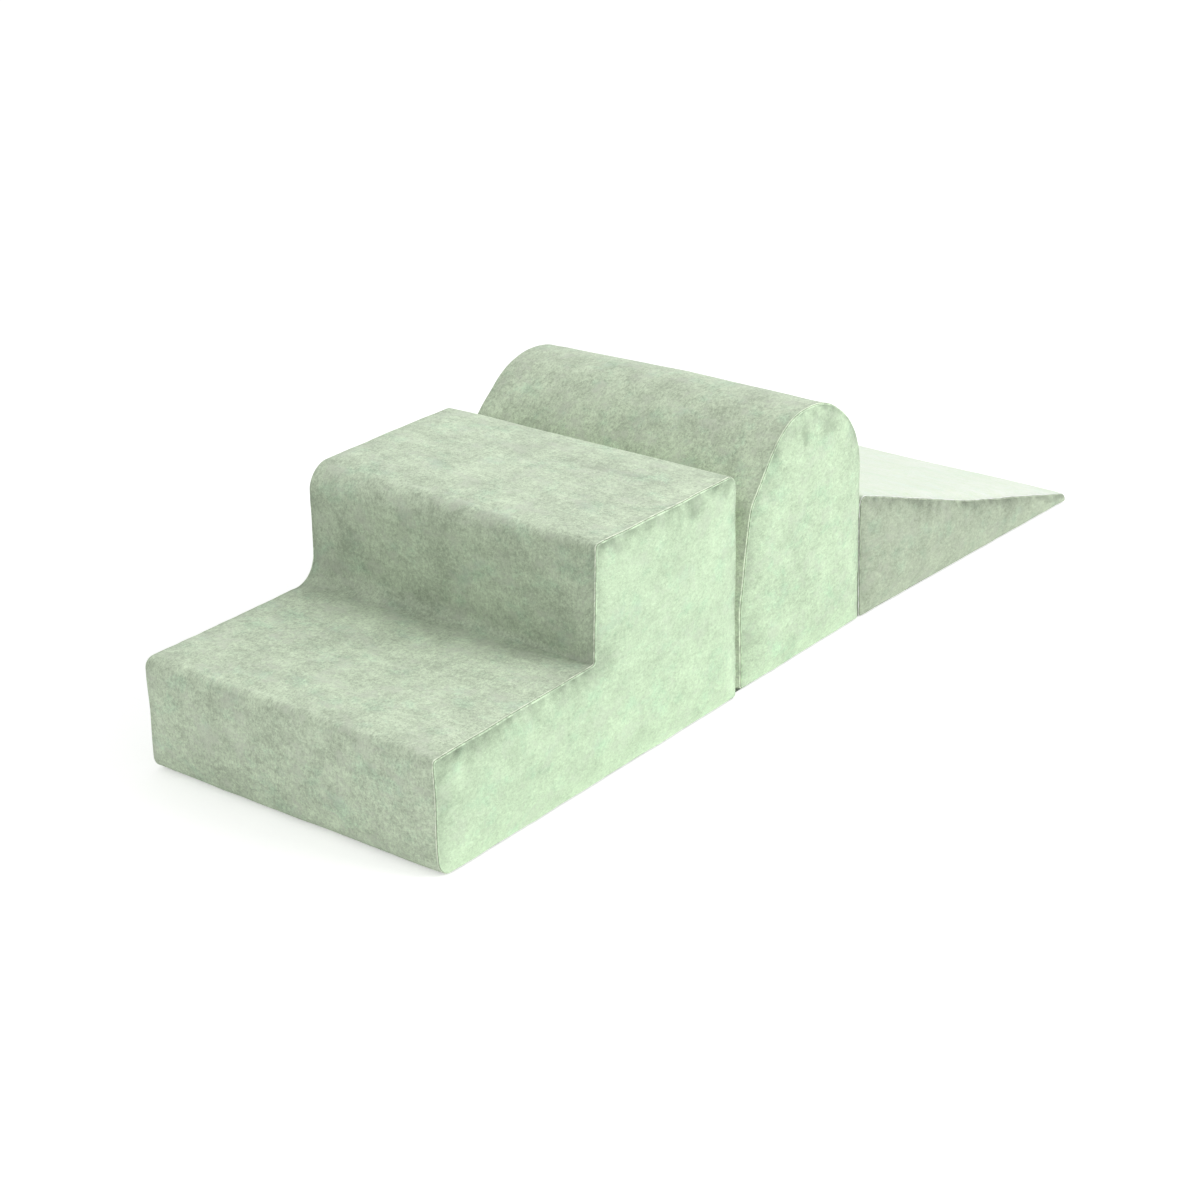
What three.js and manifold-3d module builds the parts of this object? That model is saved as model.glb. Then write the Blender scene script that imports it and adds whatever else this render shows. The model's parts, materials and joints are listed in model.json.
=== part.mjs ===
// Soft play climber of three velvet-covered foam blocks in a row: steps, an arch and a ramp.
// Millimetres, +Z up, X along the row from the steps to the ramp tip, -Y the near side.
// Each block is a foam core in a sewn cover, with a zip in its base and
// hook and loop patches on the faces that meet.

import * as THREE from 'three';
import { mergeVertices } from 'three/addons/utils/BufferGeometryUtils.js';
import Module from 'manifold-3d';

const wasm = await Module();
wasm.setup();

// Sizes of the blocks

const blockWidth = 597;

const stepLength = 760;
const firstStepHeight = 198;
const secondStepHeight = 400;
const treadDepth = 388;
const stepSideShift = 9;

const archLength = 386;
const archHeight = 454;
const archBreastHeight = 150;
const archShoulderHeight = 330;
const archShoulderSetback = 46;
const archBrowSetback = 170;

const rampLength = 718;
const rampHeight = 235;
const rampTipHeight = 17;
const rampSlopeDip = 5;
const rampTipFlare = 28;

// Corner radii, at the near side and where they differ at the far side

const footRadius = 6;
const noseRadiusNear = 14;
const noseRadiusFar = 46;
const firstNoseRadiusFar = 18;
const backTopRadius = 14;
const hollowRadiusNear = 14;
const hollowRadiusFar = 48;
const archBreastRadius = 250;
const archShoulderRadius = 70;
const archBrowRadius = 120;
const archCrownRadius = 165;
const rampTopRadius = 14;
const rampDipRadius = 900;
const rampTipRadius = 7.5;

// Cover: cloth thickness, room between touching pieces, and how the panels swell and draw in

const coverThickness = 2.5;
const seatClearance = 0.3;
const footLift = 0.5;
const baseThickness = 3;
const panelCrown = 6;
const archSeamSetback = 15;
const seamDrawIn = 1.5;
const seamFade = 45;
const seamPucker = 12;
const seamFadePower = 3;
const crownPower = 6;
const crownRingShares = [1, 0.96, 0.86, 0.6];

// Zip in the base of each block

const stepZipSetback = 150;
const archZipSetback = 193;
const rampZipSetback = 120;
const zipSideMargin = 44;
const slotHalfWidth = 7;
const hemWidth = 12;
const hemHeight = 6.2;
const tapeThickness = 0.8;
const tapeWidth = 13;
const tapeEndRoom = 2;
const toothPitch = 8;
const toothHeight = 3;
const toothReach = 1.2;
const toothNeckWidth = 2.6;
const toothHeadWidth = 3.2;
const spineOuter = 3;
const spineInner = 1.6;
const foamRoom = 1;

const sliderLength = 13;
const sliderHold = 8.5;
const sliderRearHalfWidth = 4.6;
const sliderFrontHalfWidth = 6.2;
const sliderPlateThickness = 1.2;
const sliderClearance = 0.4;
const sliderMouthHalfWidth = 5;
const sliderPostHalfWidth = 1.4;
const sliderPostLength = 3;
const sliderPostSetback = 1;

const lugThickness = 0.9;
const lugHalfSpacing = 1.9;
const lugHalfLength = 1.3;
const pinRadius = 0.5;
const eyeInnerRadius = 0.7;
const eyeOuterRadius = 1.25;
const pullLength = 27;
const pullWidth = 8;
const pullThickness = 1.2;
const pullNeckLength = 2.6;
const pullCornerRadius = 2;
const pullWindowWidth = 3;
const pullWindowLength = 9;
const pullWindowSetback = 4;

const bottomStopLength = 4.5;
const bottomStopTapeRoom = 16;
const topStopLength = 3;
const topStopWidth = 1.8;
const pullSwingRoom = 4;

// Hook and loop patches

const patchLength = 180;
const patchHeight = 50;
const patchFloorGap = 45;
const patchSideOffset = 150;
const patchCornerRadius = 8;
const loopThickness = 2.2;
const hookThickness = 1.8;

// Facets round curves, and the length under which points are one

const cornerFacets = 5;
const smallCornerFacets = 3;
const archFacets = 8;
const smallCurveFacets = 3;
const pinFacets = 10;
const weldDistance = 1e-4;
const cutOverrun = 5;

// Places that follow from the sizes

const blockGap = loopThickness + hookThickness + 3 * seatClearance;
const rowLength = stepLength + archLength + rampLength + 2 * blockGap;
const rowStart = -rowLength / 2;
const archStart = rowStart + stepLength + blockGap;
const rampStart = archStart + archLength + blockGap;
const halfWidth = blockWidth / 2;
const coreGap = coverThickness + seatClearance;
const coreHalfWidth = halfWidth - coreGap;

// Finishes

const velvet = new THREE.MeshStandardMaterial({ color: '#b9d3b4', roughness: 0.95, metalness: 0 });
const baseCloth = new THREE.MeshStandardMaterial({ color: '#8d998a', roughness: 0.9, metalness: 0 });
const foam = new THREE.MeshStandardMaterial({ color: '#ece4cc', roughness: 1, metalness: 0 });
const zipTape = new THREE.MeshStandardMaterial({ color: '#a3b89e', roughness: 0.9, metalness: 0 });
const zipResin = new THREE.MeshStandardMaterial({ color: '#94ab90', roughness: 0.5, metalness: 0 });
const zipMetal = new THREE.MeshStandardMaterial({ color: '#a9adab', roughness: 0.35, metalness: 1 });
const fastener = new THREE.MeshStandardMaterial({ color: '#a9bda4', roughness: 0.95, metalness: 0 });

// Outlines of the blocks in X and Z, from the front foot over the top to the back foot

// nearSetback is how far behind the face the near side seam is pulled at a front corner
function corner(x, z, nearRadius, farRadius = nearRadius, facets = smallCornerFacets, nearSetback = 0) {
  return { x, z, nearRadius, farRadius, facets, nearSetback };
}

const stepCorners = [
  corner(0, footLift, footRadius),
  corner(0, firstStepHeight, noseRadiusNear, firstNoseRadiusFar, cornerFacets),
  corner(treadDepth, firstStepHeight, hollowRadiusNear, hollowRadiusFar, cornerFacets),
  corner(treadDepth, secondStepHeight, noseRadiusNear, noseRadiusFar, cornerFacets),
  corner(stepLength, secondStepHeight, backTopRadius),
  corner(stepLength, footLift, footRadius),
];

const archCorners = [
  corner(0, footLift, footRadius),
  corner(0, archBreastHeight, archBreastRadius, archBreastRadius, smallCornerFacets, archSeamSetback),
  corner(archShoulderSetback, archShoulderHeight, archShoulderRadius, archShoulderRadius, cornerFacets),
  corner(archBrowSetback, archHeight, archBrowRadius, archBrowRadius, cornerFacets),
  corner(archLength, archHeight, archCrownRadius, archCrownRadius, archFacets),
  corner(archLength, footLift, footRadius),
];

const rampMiddleHeight = (rampHeight + rampTipHeight) / 2 - rampSlopeDip;
const rampCorners = [
  corner(0, footLift, footRadius),
  corner(0, rampHeight, rampTopRadius, noseRadiusFar, cornerFacets),
  corner(rampLength / 2, rampMiddleHeight, rampDipRadius),
  corner(rampLength, rampTipHeight, rampTipRadius, rampTipRadius, cornerFacets),
  corner(rampLength, footLift, rampTipRadius),
];

// Normal that points out of the edge from a to b
function edgeNormal(a, b) {
  return new THREE.Vector2(a.z - b.z, b.x - a.x).normalize();
}

// Points of a rounded outline. farShare runs from 0 at the near side to 1 at the far side.
// The panel is drawn in by the draw-in except at its foot, and the skin lies deeper by the depth.
// Fillets that would meet on an edge shrink to fit it.
function roundedOutline(block, farShare, drawIn, depth = 0) {
  const seamShare = farShare < 1 / 2 ? drawIn / seamDrawIn : 0;
  const corners = block.corners.map((point) => ({
    ...point,
    x: point.x + point.nearSetback * seamShare,
    z: point.z === footLift ? point.z - drawIn : point.z,
  }));
  const inset = drawIn + depth;
  const before = (i) => (i + corners.length - 1) % corners.length;
  const after = (i) => (i + 1) % corners.length;
  const normals = corners.map((point, i) => edgeNormal(point, corners[after(i)]));
  const turns = corners.map((point, i) => {
    const arriving = normals[before(i)];
    return Math.atan2(arriving.cross(normals[i]), arriving.dot(normals[i]));
  });
  const radii = corners.map((point) => THREE.MathUtils.lerp(point.nearRadius, point.farRadius, farShare));
  const reaches = radii.map((radius, i) => radius * Math.tan(Math.abs(turns[i]) / 2));
  const rooms = corners.map((point, i) => {
    const next = corners[after(i)];
    const edge = Math.hypot(next.x - point.x, next.z - point.z);
    return Math.min(1, edge / (reaches[i] + reaches[after(i)]));
  });
  return corners.flatMap((point, i) => {
    const arriving = normals[before(i)];
    const way = turns[i] < 0 ? 1 : -1;
    const radius = way * radii[i] * Math.min(rooms[before(i)], rooms[i]);
    const reach = radius / (1 + arriving.dot(normals[i]));
    const centreX = point.x - reach * (arriving.x + normals[i].x);
    const centreZ = point.z - reach * (arriving.y + normals[i].y);
    return Array.from({ length: point.facets + 1 }, (unused, k) => {
      const normal = arriving.clone().rotateAround(new THREE.Vector2(), turns[i] * k / point.facets);
      return { x: centreX + normal.x * (radius - inset), z: centreZ + normal.y * (radius - inset) };
    });
  });
}

// Closed bodies from rings of points

function ringPoints(outline, y) {
  return outline.map((point) => new THREE.Vector3(point.x, y, point.z));
}

// Turns every face outwards if the body is inside out
function facingOut(geometry) {
  const position = geometry.attributes.position;
  const index = geometry.index.array;
  const [a, b, c] = [new THREE.Vector3(), new THREE.Vector3(), new THREE.Vector3()];
  let volume = 0;
  for (let i = 0; i < index.length; i += 3) {
    a.fromBufferAttribute(position, index[i]);
    b.fromBufferAttribute(position, index[i + 1]);
    c.fromBufferAttribute(position, index[i + 2]);
    volume += a.dot(b.cross(c));
  }
  if (volume < 0) {
    geometry.setIndex(Array.from(index).reverse());
  }
  geometry.computeVertexNormals();
  return geometry;
}

// Side faces between rings of the same count; a ring of one point is a pole.
// The rings of a strip run out along one skin and back along the other, with the same
// diagonals on both, and the strip's two ends are closed.
function bodyOfRings(rings, isStrip = false) {
  const starts = [];
  const points = [];
  rings.forEach((ring) => {
    starts.push(points.length);
    points.push(...ring);
  });
  const faces = [];
  for (let r = 0; r + 1 < rings.length; r += 1) {
    const lower = rings[r].length;
    const upper = rings[r + 1].length;
    const count = Math.max(lower, upper);
    for (let j = 0; j < count; j += 1) {
      const k = (j + 1) % count;
      const [a, b] = [starts[r] + j % lower, starts[r] + k % lower];
      const [d, c] = [starts[r + 1] + j % upper, starts[r + 1] + k % upper];
      if (isStrip && j >= count / 2) {
        faces.push(a, b, d, b, c, d);
        continue;
      }
      if (lower > 1) {
        faces.push(a, b, c);
      }
      if (upper > 1) {
        faces.push(a, c, d);
      }
    }
  }
  if (isStrip) {
    faces.push(...stripEnd(starts[0], rings[0].length));
    faces.push(...stripEnd(starts.at(-1), rings[0].length).reverse());
  }
  const geometry = new THREE.BufferGeometry();
  geometry.setAttribute('position', new THREE.Float32BufferAttribute(points.flatMap((p) => p.toArray()), 3));
  geometry.setIndex(faces);
  return facingOut(geometry);
}

// End faces of a ring that runs out along one skin of a strip and back along the other
function stripEnd(start, count) {
  const faces = [];
  for (let j = 0; j + 1 < count / 2; j += 1) {
    const [a, b, c, d] = [j, j + 1, count - 2 - j, count - 1 - j].map((k) => start + k);
    faces.push(a, c, b, a, d, c);
  }
  return faces;
}

// Stations across the width, each with how far the cover is drawn in towards its side seam
function widthStations() {
  const fadeEnd = Math.min(seamFade, coreHalfWidth / 2);
  const puckerEnd = Math.min(seamPucker, fadeEnd / 2);
  const distances = [0, puckerEnd, fadeEnd];
  const near = distances.map((distance) => ({ distance, y: distance - coreHalfWidth }));
  const far = distances.map((distance) => ({ distance, y: coreHalfWidth - distance })).reverse();
  return [...near, { distance: coreHalfWidth, y: 0 }, ...far].map(({ distance, y }) => ({
    y,
    farShare: (y + coreHalfWidth) / (2 * coreHalfWidth),
    drawIn: seamDrawIn * Math.max(0, 1 - distance / fadeEnd) ** seamFadePower,
  }));
}

// Rings of an end that swells from its rim to its middle, listed from the rim inwards
function crownRings(block, side, depth, rimY) {
  const { middle } = block;
  const rim = roundedOutline(block, side < 0 ? 0 : 1, seamDrawIn, depth);
  const rings = crownRingShares.map((share) => {
    const y = side * (rimY + panelCrown * (1 - share ** crownPower));
    const ring = rim.map((point) => ({
      x: middle.x + share * (point.x - middle.x),
      z: middle.z + share * (point.z - middle.z),
    }));
    return ringPoints(ring, y);
  });
  return [...rings, [new THREE.Vector3(middle.x, side * (rimY + panelCrown), middle.z)]];
}

// Foam core: the outline inside the cover, with an end that swells at each side
function coreGeometry(block) {
  const between = widthStations().map(({ y, farShare, drawIn }) => (
    ringPoints(roundedOutline(block, farShare, drawIn, coreGap), y)
  ));
  const near = crownRings(block, -1, coreGap, coreHalfWidth);
  const far = crownRings(block, 1, coreGap, coreHalfWidth);
  return bodyOfRings([...near.slice(1).reverse(), ...between, ...far.slice(1)]);
}

// Cover panel that wraps the block from the front foot over the top to the back foot
function wrapGeometry(block) {
  const rings = widthStations().map(({ y, farShare, drawIn }) => {
    const outside = roundedOutline(block, farShare, drawIn);
    const inside = roundedOutline(block, farShare, drawIn, coverThickness);
    return ringPoints([...outside, ...inside.reverse()], y);
  });
  return bodyOfRings(rings, true);
}

// Cover panel on one side of the block
function sideGeometry(block, side) {
  const inner = crownRings(block, side, 0, halfWidth - coverThickness);
  const outer = crownRings(block, side, 0, halfWidth);
  return bodyOfRings([...outer.reverse(), ...inner]);
}

// Solids that are cut and joined

function toSolid(geometry) {
  const bare = geometry.clone();
  bare.deleteAttribute('normal');
  bare.deleteAttribute('uv');
  const welded = mergeVertices(bare, weldDistance);
  return new wasm.Manifold(new wasm.Mesh({
    numProp: 3,
    vertProperties: Float32Array.from(welded.attributes.position.array),
    triVerts: Uint32Array.from(welded.index.array),
  }));
}

function toGeometry(solid) {
  const { vertProperties, triVerts } = solid.getMesh();
  const geometry = new THREE.BufferGeometry();
  geometry.setAttribute('position', new THREE.Float32BufferAttribute(vertProperties, 3));
  geometry.setIndex(Array.from(triVerts));
  geometry.computeVertexNormals();
  return geometry;
}

// A box from its lowest and highest corners
function boxBetween(low, high) {
  const size = high.map((value, axis) => value - low[axis]);
  const box = new THREE.BoxGeometry(...size);
  return box.translate(...low.map((value, axis) => value + size[axis] / 2));
}

// A plan outline in X and Y, raised from one height to another
function raised(shape, fromZ, toZ) {
  const options = { depth: toZ - fromZ, bevelEnabled: false, curveSegments: smallCurveFacets };
  return new THREE.ExtrudeGeometry(shape, options).translate(0, 0, fromZ);
}

// An outline in Y and Z, run along X from one place to another
function runAlongX(shape, fromX, toX, facets) {
  const options = { depth: toX - fromX, bevelEnabled: false, curveSegments: facets };
  const turn = new THREE.Matrix4().makeBasis(
    new THREE.Vector3(0, 1, 0),
    new THREE.Vector3(0, 0, 1),
    new THREE.Vector3(1, 0, 0),
  );
  return new THREE.ExtrudeGeometry(shape, options).applyMatrix4(turn).translate(fromX, 0, 0);
}

function polygon(points) {
  return new THREE.Shape(points.map(([x, y]) => new THREE.Vector2(x, y)));
}

function roundedRectangle(width, height, radius, outline = new THREE.Shape()) {
  const [x, y] = [width / 2, height / 2];
  const round = Math.min(radius, x, y);
  outline.moveTo(round - x, -y);
  outline.lineTo(x - round, -y);
  outline.quadraticCurveTo(x, -y, x, round - y);
  outline.lineTo(x, y - round);
  outline.quadraticCurveTo(x, y, x - round, y);
  outline.lineTo(round - x, y);
  outline.quadraticCurveTo(-x, y, -x, y - round);
  outline.lineTo(-x, round - y);
  outline.quadraticCurveTo(-x, -y, round - x, -y);
  return outline;
}

// Zip: heights and places that its pieces share, with the chain along Y at X = 0

const tapeBottom = hemHeight + seatClearance;
const tapeTop = tapeBottom + tapeThickness;
const chainHeight = (tapeBottom + tapeTop) / 2;
const teethBottom = chainHeight - toothHeight / 2;
const teethTop = chainHeight + toothHeight / 2;
const channelBottom = teethBottom - sliderClearance;
const channelTop = teethTop + sliderClearance;
const sliderBottom = channelBottom - sliderPlateThickness;
const sliderTop = channelTop + sliderPlateThickness;
const tapeInner = spineOuter + seatClearance;
const pinHeight = sliderBottom - seatClearance - eyeOuterRadius;
const sliderOverhang = sliderLength - sliderHold;

const slotStart = zipSideMargin - halfWidth;
const slotEnd = halfWidth - zipSideMargin;
const chainStart = slotStart + tapeEndRoom + bottomStopTapeRoom + bottomStopLength + seatClearance;
const chainRoom = slotEnd - pullSwingRoom - pullLength - sliderOverhang - chainStart;
const teethInRow = Math.floor(chainRoom / toothPitch);
const chainEnd = chainStart + teethInRow * toothPitch;
const sliderRear = chainEnd - sliderHold;
const sliderFront = sliderRear + sliderLength;
const pinSetback = sliderLength / 2;

// One row of teeth on its spine. side is -1 for the front row and 1 for the rear row,
// whose teeth sit half a pitch further on.
function teethGeometry(side) {
  const points = [[side * spineOuter, chainStart], [side * spineOuter, chainEnd]];
  points.push([side * spineInner, chainEnd]);
  const firstToothShare = side < 0 ? 0.25 : 0.75;
  for (let i = teethInRow - 1; i >= 0; i -= 1) {
    const middle = chainStart + (i + firstToothShare) * toothPitch;
    points.push([side * spineInner, middle + toothNeckWidth / 2]);
    points.push([-side * toothReach, middle + toothHeadWidth / 2]);
    points.push([-side * toothReach, middle - toothHeadWidth / 2]);
    points.push([side * spineInner, middle - toothNeckWidth / 2]);
  }
  points.push([side * spineInner, chainStart]);
  return raised(polygon(points), teethBottom, teethTop);
}

function tapeGeometry(side) {
  const inner = side * tapeInner;
  const outer = side * (tapeInner + tapeWidth);
  const low = [Math.min(inner, outer), slotStart + tapeEndRoom, tapeBottom];
  const high = [Math.max(inner, outer), slotEnd - tapeEndRoom, tapeTop];
  return boxBetween(low, high);
}

// Slider plan, wide at the front where the rows part
function sliderPlan(rearHalfWidth, frontHalfWidth, fromY, toY) {
  const plan = new THREE.Shape();
  const flareStart = sliderLength / 3;
  plan.moveTo(-rearHalfWidth, fromY);
  plan.lineTo(rearHalfWidth, fromY);
  plan.lineTo(rearHalfWidth, flareStart);
  plan.quadraticCurveTo(frontHalfWidth, (flareStart + toY) / 2, frontHalfWidth, toY);
  plan.lineTo(-frontHalfWidth, toY);
  plan.quadraticCurveTo(-frontHalfWidth, (flareStart + toY) / 2, -rearHalfWidth, flareStart);
  return plan;
}

// Slider body: two plates with side flanges, a slot for the tapes, a wedge post that
// parts the rows, and two lugs with a pin below for the pull
function sliderGeometry() {
  const shell = toSolid(raised(
    sliderPlan(sliderRearHalfWidth, sliderFrontHalfWidth, 0, sliderLength),
    sliderBottom,
    sliderTop,
  ));
  const channelHalfWidth = spineOuter + sliderClearance;
  const channel = toSolid(raised(
    sliderPlan(channelHalfWidth, sliderMouthHalfWidth, -cutOverrun, sliderLength + cutOverrun),
    channelBottom,
    channelTop,
  ));
  const slot = toSolid(boxBetween(
    [-sliderFrontHalfWidth - cutOverrun, -cutOverrun, tapeBottom - sliderClearance],
    [sliderFrontHalfWidth + cutOverrun, sliderLength + cutOverrun, tapeTop + sliderClearance],
  ));
  const postFront = sliderLength - sliderPostSetback;
  const postRear = postFront - sliderPostLength;
  const post = toSolid(raised(
    polygon([
      [0, postRear],
      [sliderPostHalfWidth, (postRear + postFront) / 2],
      [sliderPostHalfWidth, postFront],
      [-sliderPostHalfWidth, postFront],
      [-sliderPostHalfWidth, (postRear + postFront) / 2],
    ]),
    (sliderBottom + channelBottom) / 2,
    (sliderTop + channelTop) / 2,
  ));
  const lugOutline = new THREE.Shape();
  lugOutline.moveTo(pinSetback - lugHalfLength, channelBottom - sliderPlateThickness / 2);
  lugOutline.lineTo(pinSetback - lugHalfLength, pinHeight);
  lugOutline.absarc(pinSetback, pinHeight, lugHalfLength, Math.PI, 2 * Math.PI, false);
  lugOutline.lineTo(pinSetback + lugHalfLength, channelBottom - sliderPlateThickness / 2);
  const lugOuter = lugHalfSpacing + lugThickness;
  const frontLug = toSolid(runAlongX(lugOutline, -lugOuter, -lugHalfSpacing, pinFacets / 2));
  const rearLug = toSolid(runAlongX(lugOutline, lugHalfSpacing, lugOuter, pinFacets / 2));
  const pinOutline = new THREE.Shape();
  pinOutline.absarc(pinSetback, pinHeight, pinRadius, 0, 2 * Math.PI, false);
  const pinReach = lugHalfSpacing + lugThickness / 2;
  const pin = toSolid(runAlongX(pinOutline, -pinReach, pinReach, pinFacets));
  const body = shell.subtract(channel).subtract(slot).add(post).add(frontLug).add(rearLug).add(pin);
  return toGeometry(body).translate(0, sliderRear, 0);
}

// Pull: an eye round the slider's pin and a flat tab with a window, lying back along the chain
function pullGeometry() {
  const eyeOutline = new THREE.Shape();
  eyeOutline.absarc(0, 0, eyeOuterRadius, 0, 2 * Math.PI, false);
  const eyeHole = new THREE.Path();
  eyeHole.absarc(0, 0, eyeInnerRadius, 0, 2 * Math.PI, true);
  eyeOutline.holes.push(eyeHole);
  const eyeHalfWidth = lugHalfSpacing - seatClearance;
  const eye = toSolid(runAlongX(eyeOutline, -eyeHalfWidth, eyeHalfWidth, pinFacets));
  const tabBottom = -eyeOuterRadius;
  const tabTop = tabBottom + pullThickness;
  const neckEnd = -lugHalfLength - pullNeckLength;
  const neck = toSolid(boxBetween(
    [-eyeHalfWidth, neckEnd - pullCornerRadius, tabBottom],
    [eyeHalfWidth, -(eyeInnerRadius + eyeOuterRadius) / 2, tabTop],
  ));
  const tabLength = pullLength - lugHalfLength - pullNeckLength;
  const tabOutline = roundedRectangle(pullWidth, tabLength, pullCornerRadius);
  const window = raised(
    roundedRectangle(pullWindowWidth, pullWindowLength, pullWindowWidth / 2),
    tabBottom - cutOverrun,
    tabTop + cutOverrun,
  ).translate(0, pullWindowSetback + (pullWindowLength - tabLength) / 2, 0);
  const tab = toSolid(raised(tabOutline, tabBottom, tabTop)).subtract(toSolid(window));
  const placedTab = toSolid(toGeometry(tab).translate(0, neckEnd - tabLength / 2, 0));
  return toGeometry(eye.add(neck).add(placedTab)).translate(0, sliderRear + pinSetback, pinHeight);
}

// Box that joins the two rows at the closed end
function bottomStopGeometry() {
  const plan = roundedRectangle(2 * spineOuter, bottomStopLength, spineInner / 2);
  const middle = chainStart - seatClearance - bottomStopLength / 2;
  return raised(plan, teethBottom, teethTop).translate(0, middle, 0);
}

// Clip on one tape that the slider comes up against
function topStopGeometry(side) {
  const plan = roundedRectangle(topStopWidth, topStopLength, topStopWidth / 4);
  const x = side * (spineOuter - topStopWidth / 2);
  const y = sliderFront + seatClearance + topStopLength / 2;
  return raised(plan, teethBottom, teethTop).translate(x, y, 0);
}

// Base cloth on one side of the zip: a plate notched for the slot, with a raised hem beside it
function baseGeometry(block, side) {
  const wraps = widthStations().map(({ farShare, drawIn }) => roundedOutline(block, farShare, drawIn));
  const footEdge = side < 0
    ? Math.max(...wraps.map((outline) => outline[0].x)) + seatClearance
    : Math.min(...wraps.map((outline) => outline.at(-1).x)) - seatClearance;
  const meeting = block.zipX + side * seatClearance / 2;
  const slotEdge = block.zipX + side * slotHalfWidth;
  const plan = polygon([
    [footEdge, -coreHalfWidth],
    [meeting, -coreHalfWidth],
    [meeting, slotStart],
    [slotEdge, slotStart],
    [slotEdge, slotEnd],
    [meeting, slotEnd],
    [meeting, coreHalfWidth],
    [footEdge, coreHalfWidth],
  ]);
  const hemEdge = slotEdge + side * hemWidth;
  const hem = boxBetween(
    [Math.min(slotEdge, hemEdge), slotStart, 0],
    [Math.max(slotEdge, hemEdge), slotEnd, hemHeight],
  );
  return toGeometry(toSolid(raised(plan, 0, baseThickness)).add(toSolid(hem)));
}

// The foam gives way over the hems and the slider, so its underside has a shallow channel there
function channelledCore(block) {
  const reach = slotHalfWidth + hemWidth + foamRoom;
  const channel = boxBetween(
    [block.zipX - reach, slotStart - foamRoom, -cutOverrun],
    [block.zipX + reach, slotEnd + foamRoom, sliderTop + foamRoom],
  );
  return toGeometry(toSolid(coreGeometry(block)).subtract(toSolid(channel)));
}

// Widens a geometry towards the far end of its block by the flare at each side
function flared(geometry, block) {
  if (block.flare === 0) {
    return geometry;
  }
  const position = geometry.attributes.position;
  for (let i = 0; i < position.count; i += 1) {
    const widening = 1 + (block.flare / halfWidth) * (position.getX(i) / block.length);
    position.setY(i, position.getY(i) * widening);
  }
  geometry.computeVertexNormals();
  return geometry;
}

// Assembly

function named(name, geometry, material) {
  const mesh = new THREE.Mesh(geometry, material);
  mesh.name = name;
  return mesh;
}

function zipGroup(block) {
  const zip = new THREE.Group();
  zip.position.x = block.zipX;
  for (const [side, place] of [[-1, 'front'], [1, 'rear']]) {
    zip.add(named(`${block.name}_zip_tape_${place}`, tapeGeometry(side), zipTape));
    zip.add(named(`${block.name}_zip_teeth_${place}`, teethGeometry(side), zipResin));
    zip.add(named(`${block.name}_zip_top_stop_${place}`, topStopGeometry(side), zipResin));
  }
  zip.add(named(`${block.name}_zip_bottom_stop`, bottomStopGeometry(), zipResin));
  zip.add(named(`${block.name}_zip_slider`, sliderGeometry(), zipMetal));
  zip.add(named(`${block.name}_zip_pull`, pullGeometry(), zipMetal));
  return zip;
}

// A hook or loop patch each side of the middle, on the face at X, standing out by its thickness
function patchMeshes(block, kind, faceX, outward, thickness) {
  const low = faceX + outward * seatClearance;
  const high = low + outward * thickness;
  return [[-1, 'near'], [1, 'far']].map(([side, place]) => {
    const patch = runAlongX(
      roundedRectangle(patchLength, patchHeight, patchCornerRadius),
      Math.min(low, high),
      Math.max(low, high),
      smallCurveFacets,
    );
    const mesh = named(`${block.name}_${kind}_patch_${place}`, patch, fastener);
    mesh.position.set(0, side * patchSideOffset - block.patchShift, patchFloorGap + patchHeight / 2);
    return mesh;
  });
}

function blockGroup(block) {
  const group = new THREE.Group();
  group.position.set(block.start, block.sideShift, 0);
  group.add(named(`${block.name}_foam_core`, flared(channelledCore(block), block), foam));
  group.add(named(`${block.name}_cover_wrap`, flared(wrapGeometry(block), block), velvet));
  for (const [side, place] of [[-1, 'near'], [1, 'far']]) {
    const panel = flared(sideGeometry(block, side), block);
    group.add(named(`${block.name}_cover_side_${place}`, panel, velvet));
  }
  for (const [side, place] of [[-1, 'front'], [1, 'rear']]) {
    group.add(named(`${block.name}_base_${place}`, flared(baseGeometry(block, side), block), baseCloth));
  }
  group.add(zipGroup(block));
  if (block.loopX !== undefined) {
    group.add(...patchMeshes(block, 'loop', block.loopX, 1, loopThickness));
  }
  if (block.hookX !== undefined) {
    group.add(...patchMeshes(block, 'hook', block.hookX, -1, hookThickness));
  }
  return group;
}

// The middle is the point that the rings of a side panel shrink towards
const blocks = [
  {
    name: 'step',
    corners: stepCorners,
    length: stepLength,
    start: rowStart,
    sideShift: -stepSideShift,
    patchShift: -stepSideShift,
    middle: { x: (treadDepth + stepLength) / 2, z: firstStepHeight / 2 },
    zipX: stepLength - stepZipSetback,
    loopX: stepLength,
    flare: 0,
  },
  {
    name: 'arch',
    corners: archCorners,
    length: archLength,
    start: archStart,
    sideShift: 0,
    patchShift: 0,
    middle: { x: archLength / 2, z: archHeight / 2 },
    zipX: archZipSetback,
    loopX: archLength,
    hookX: 0,
    flare: 0,
  },
  {
    name: 'ramp',
    corners: rampCorners,
    length: rampLength,
    start: rampStart,
    sideShift: 0,
    patchShift: 0,
    middle: { x: rampLength / 3, z: rampHeight / 3 },
    zipX: rampZipSetback,
    hookX: 0,
    flare: rampTipFlare,
  },
];

const climber = new THREE.Group();
climber.add(...blocks.map(blockGroup));

export default climber;
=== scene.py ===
"""Looks of the soft play climber: three velvet-covered foam blocks in a row, steps, an arch and a ramp."""

import json
import math
from collections import namedtuple

import bmesh
import bpy
import numpy as np
from mathutils import Matrix, Vector, geometry, noise
from mathutils.bvhtree import BVHTree


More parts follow.
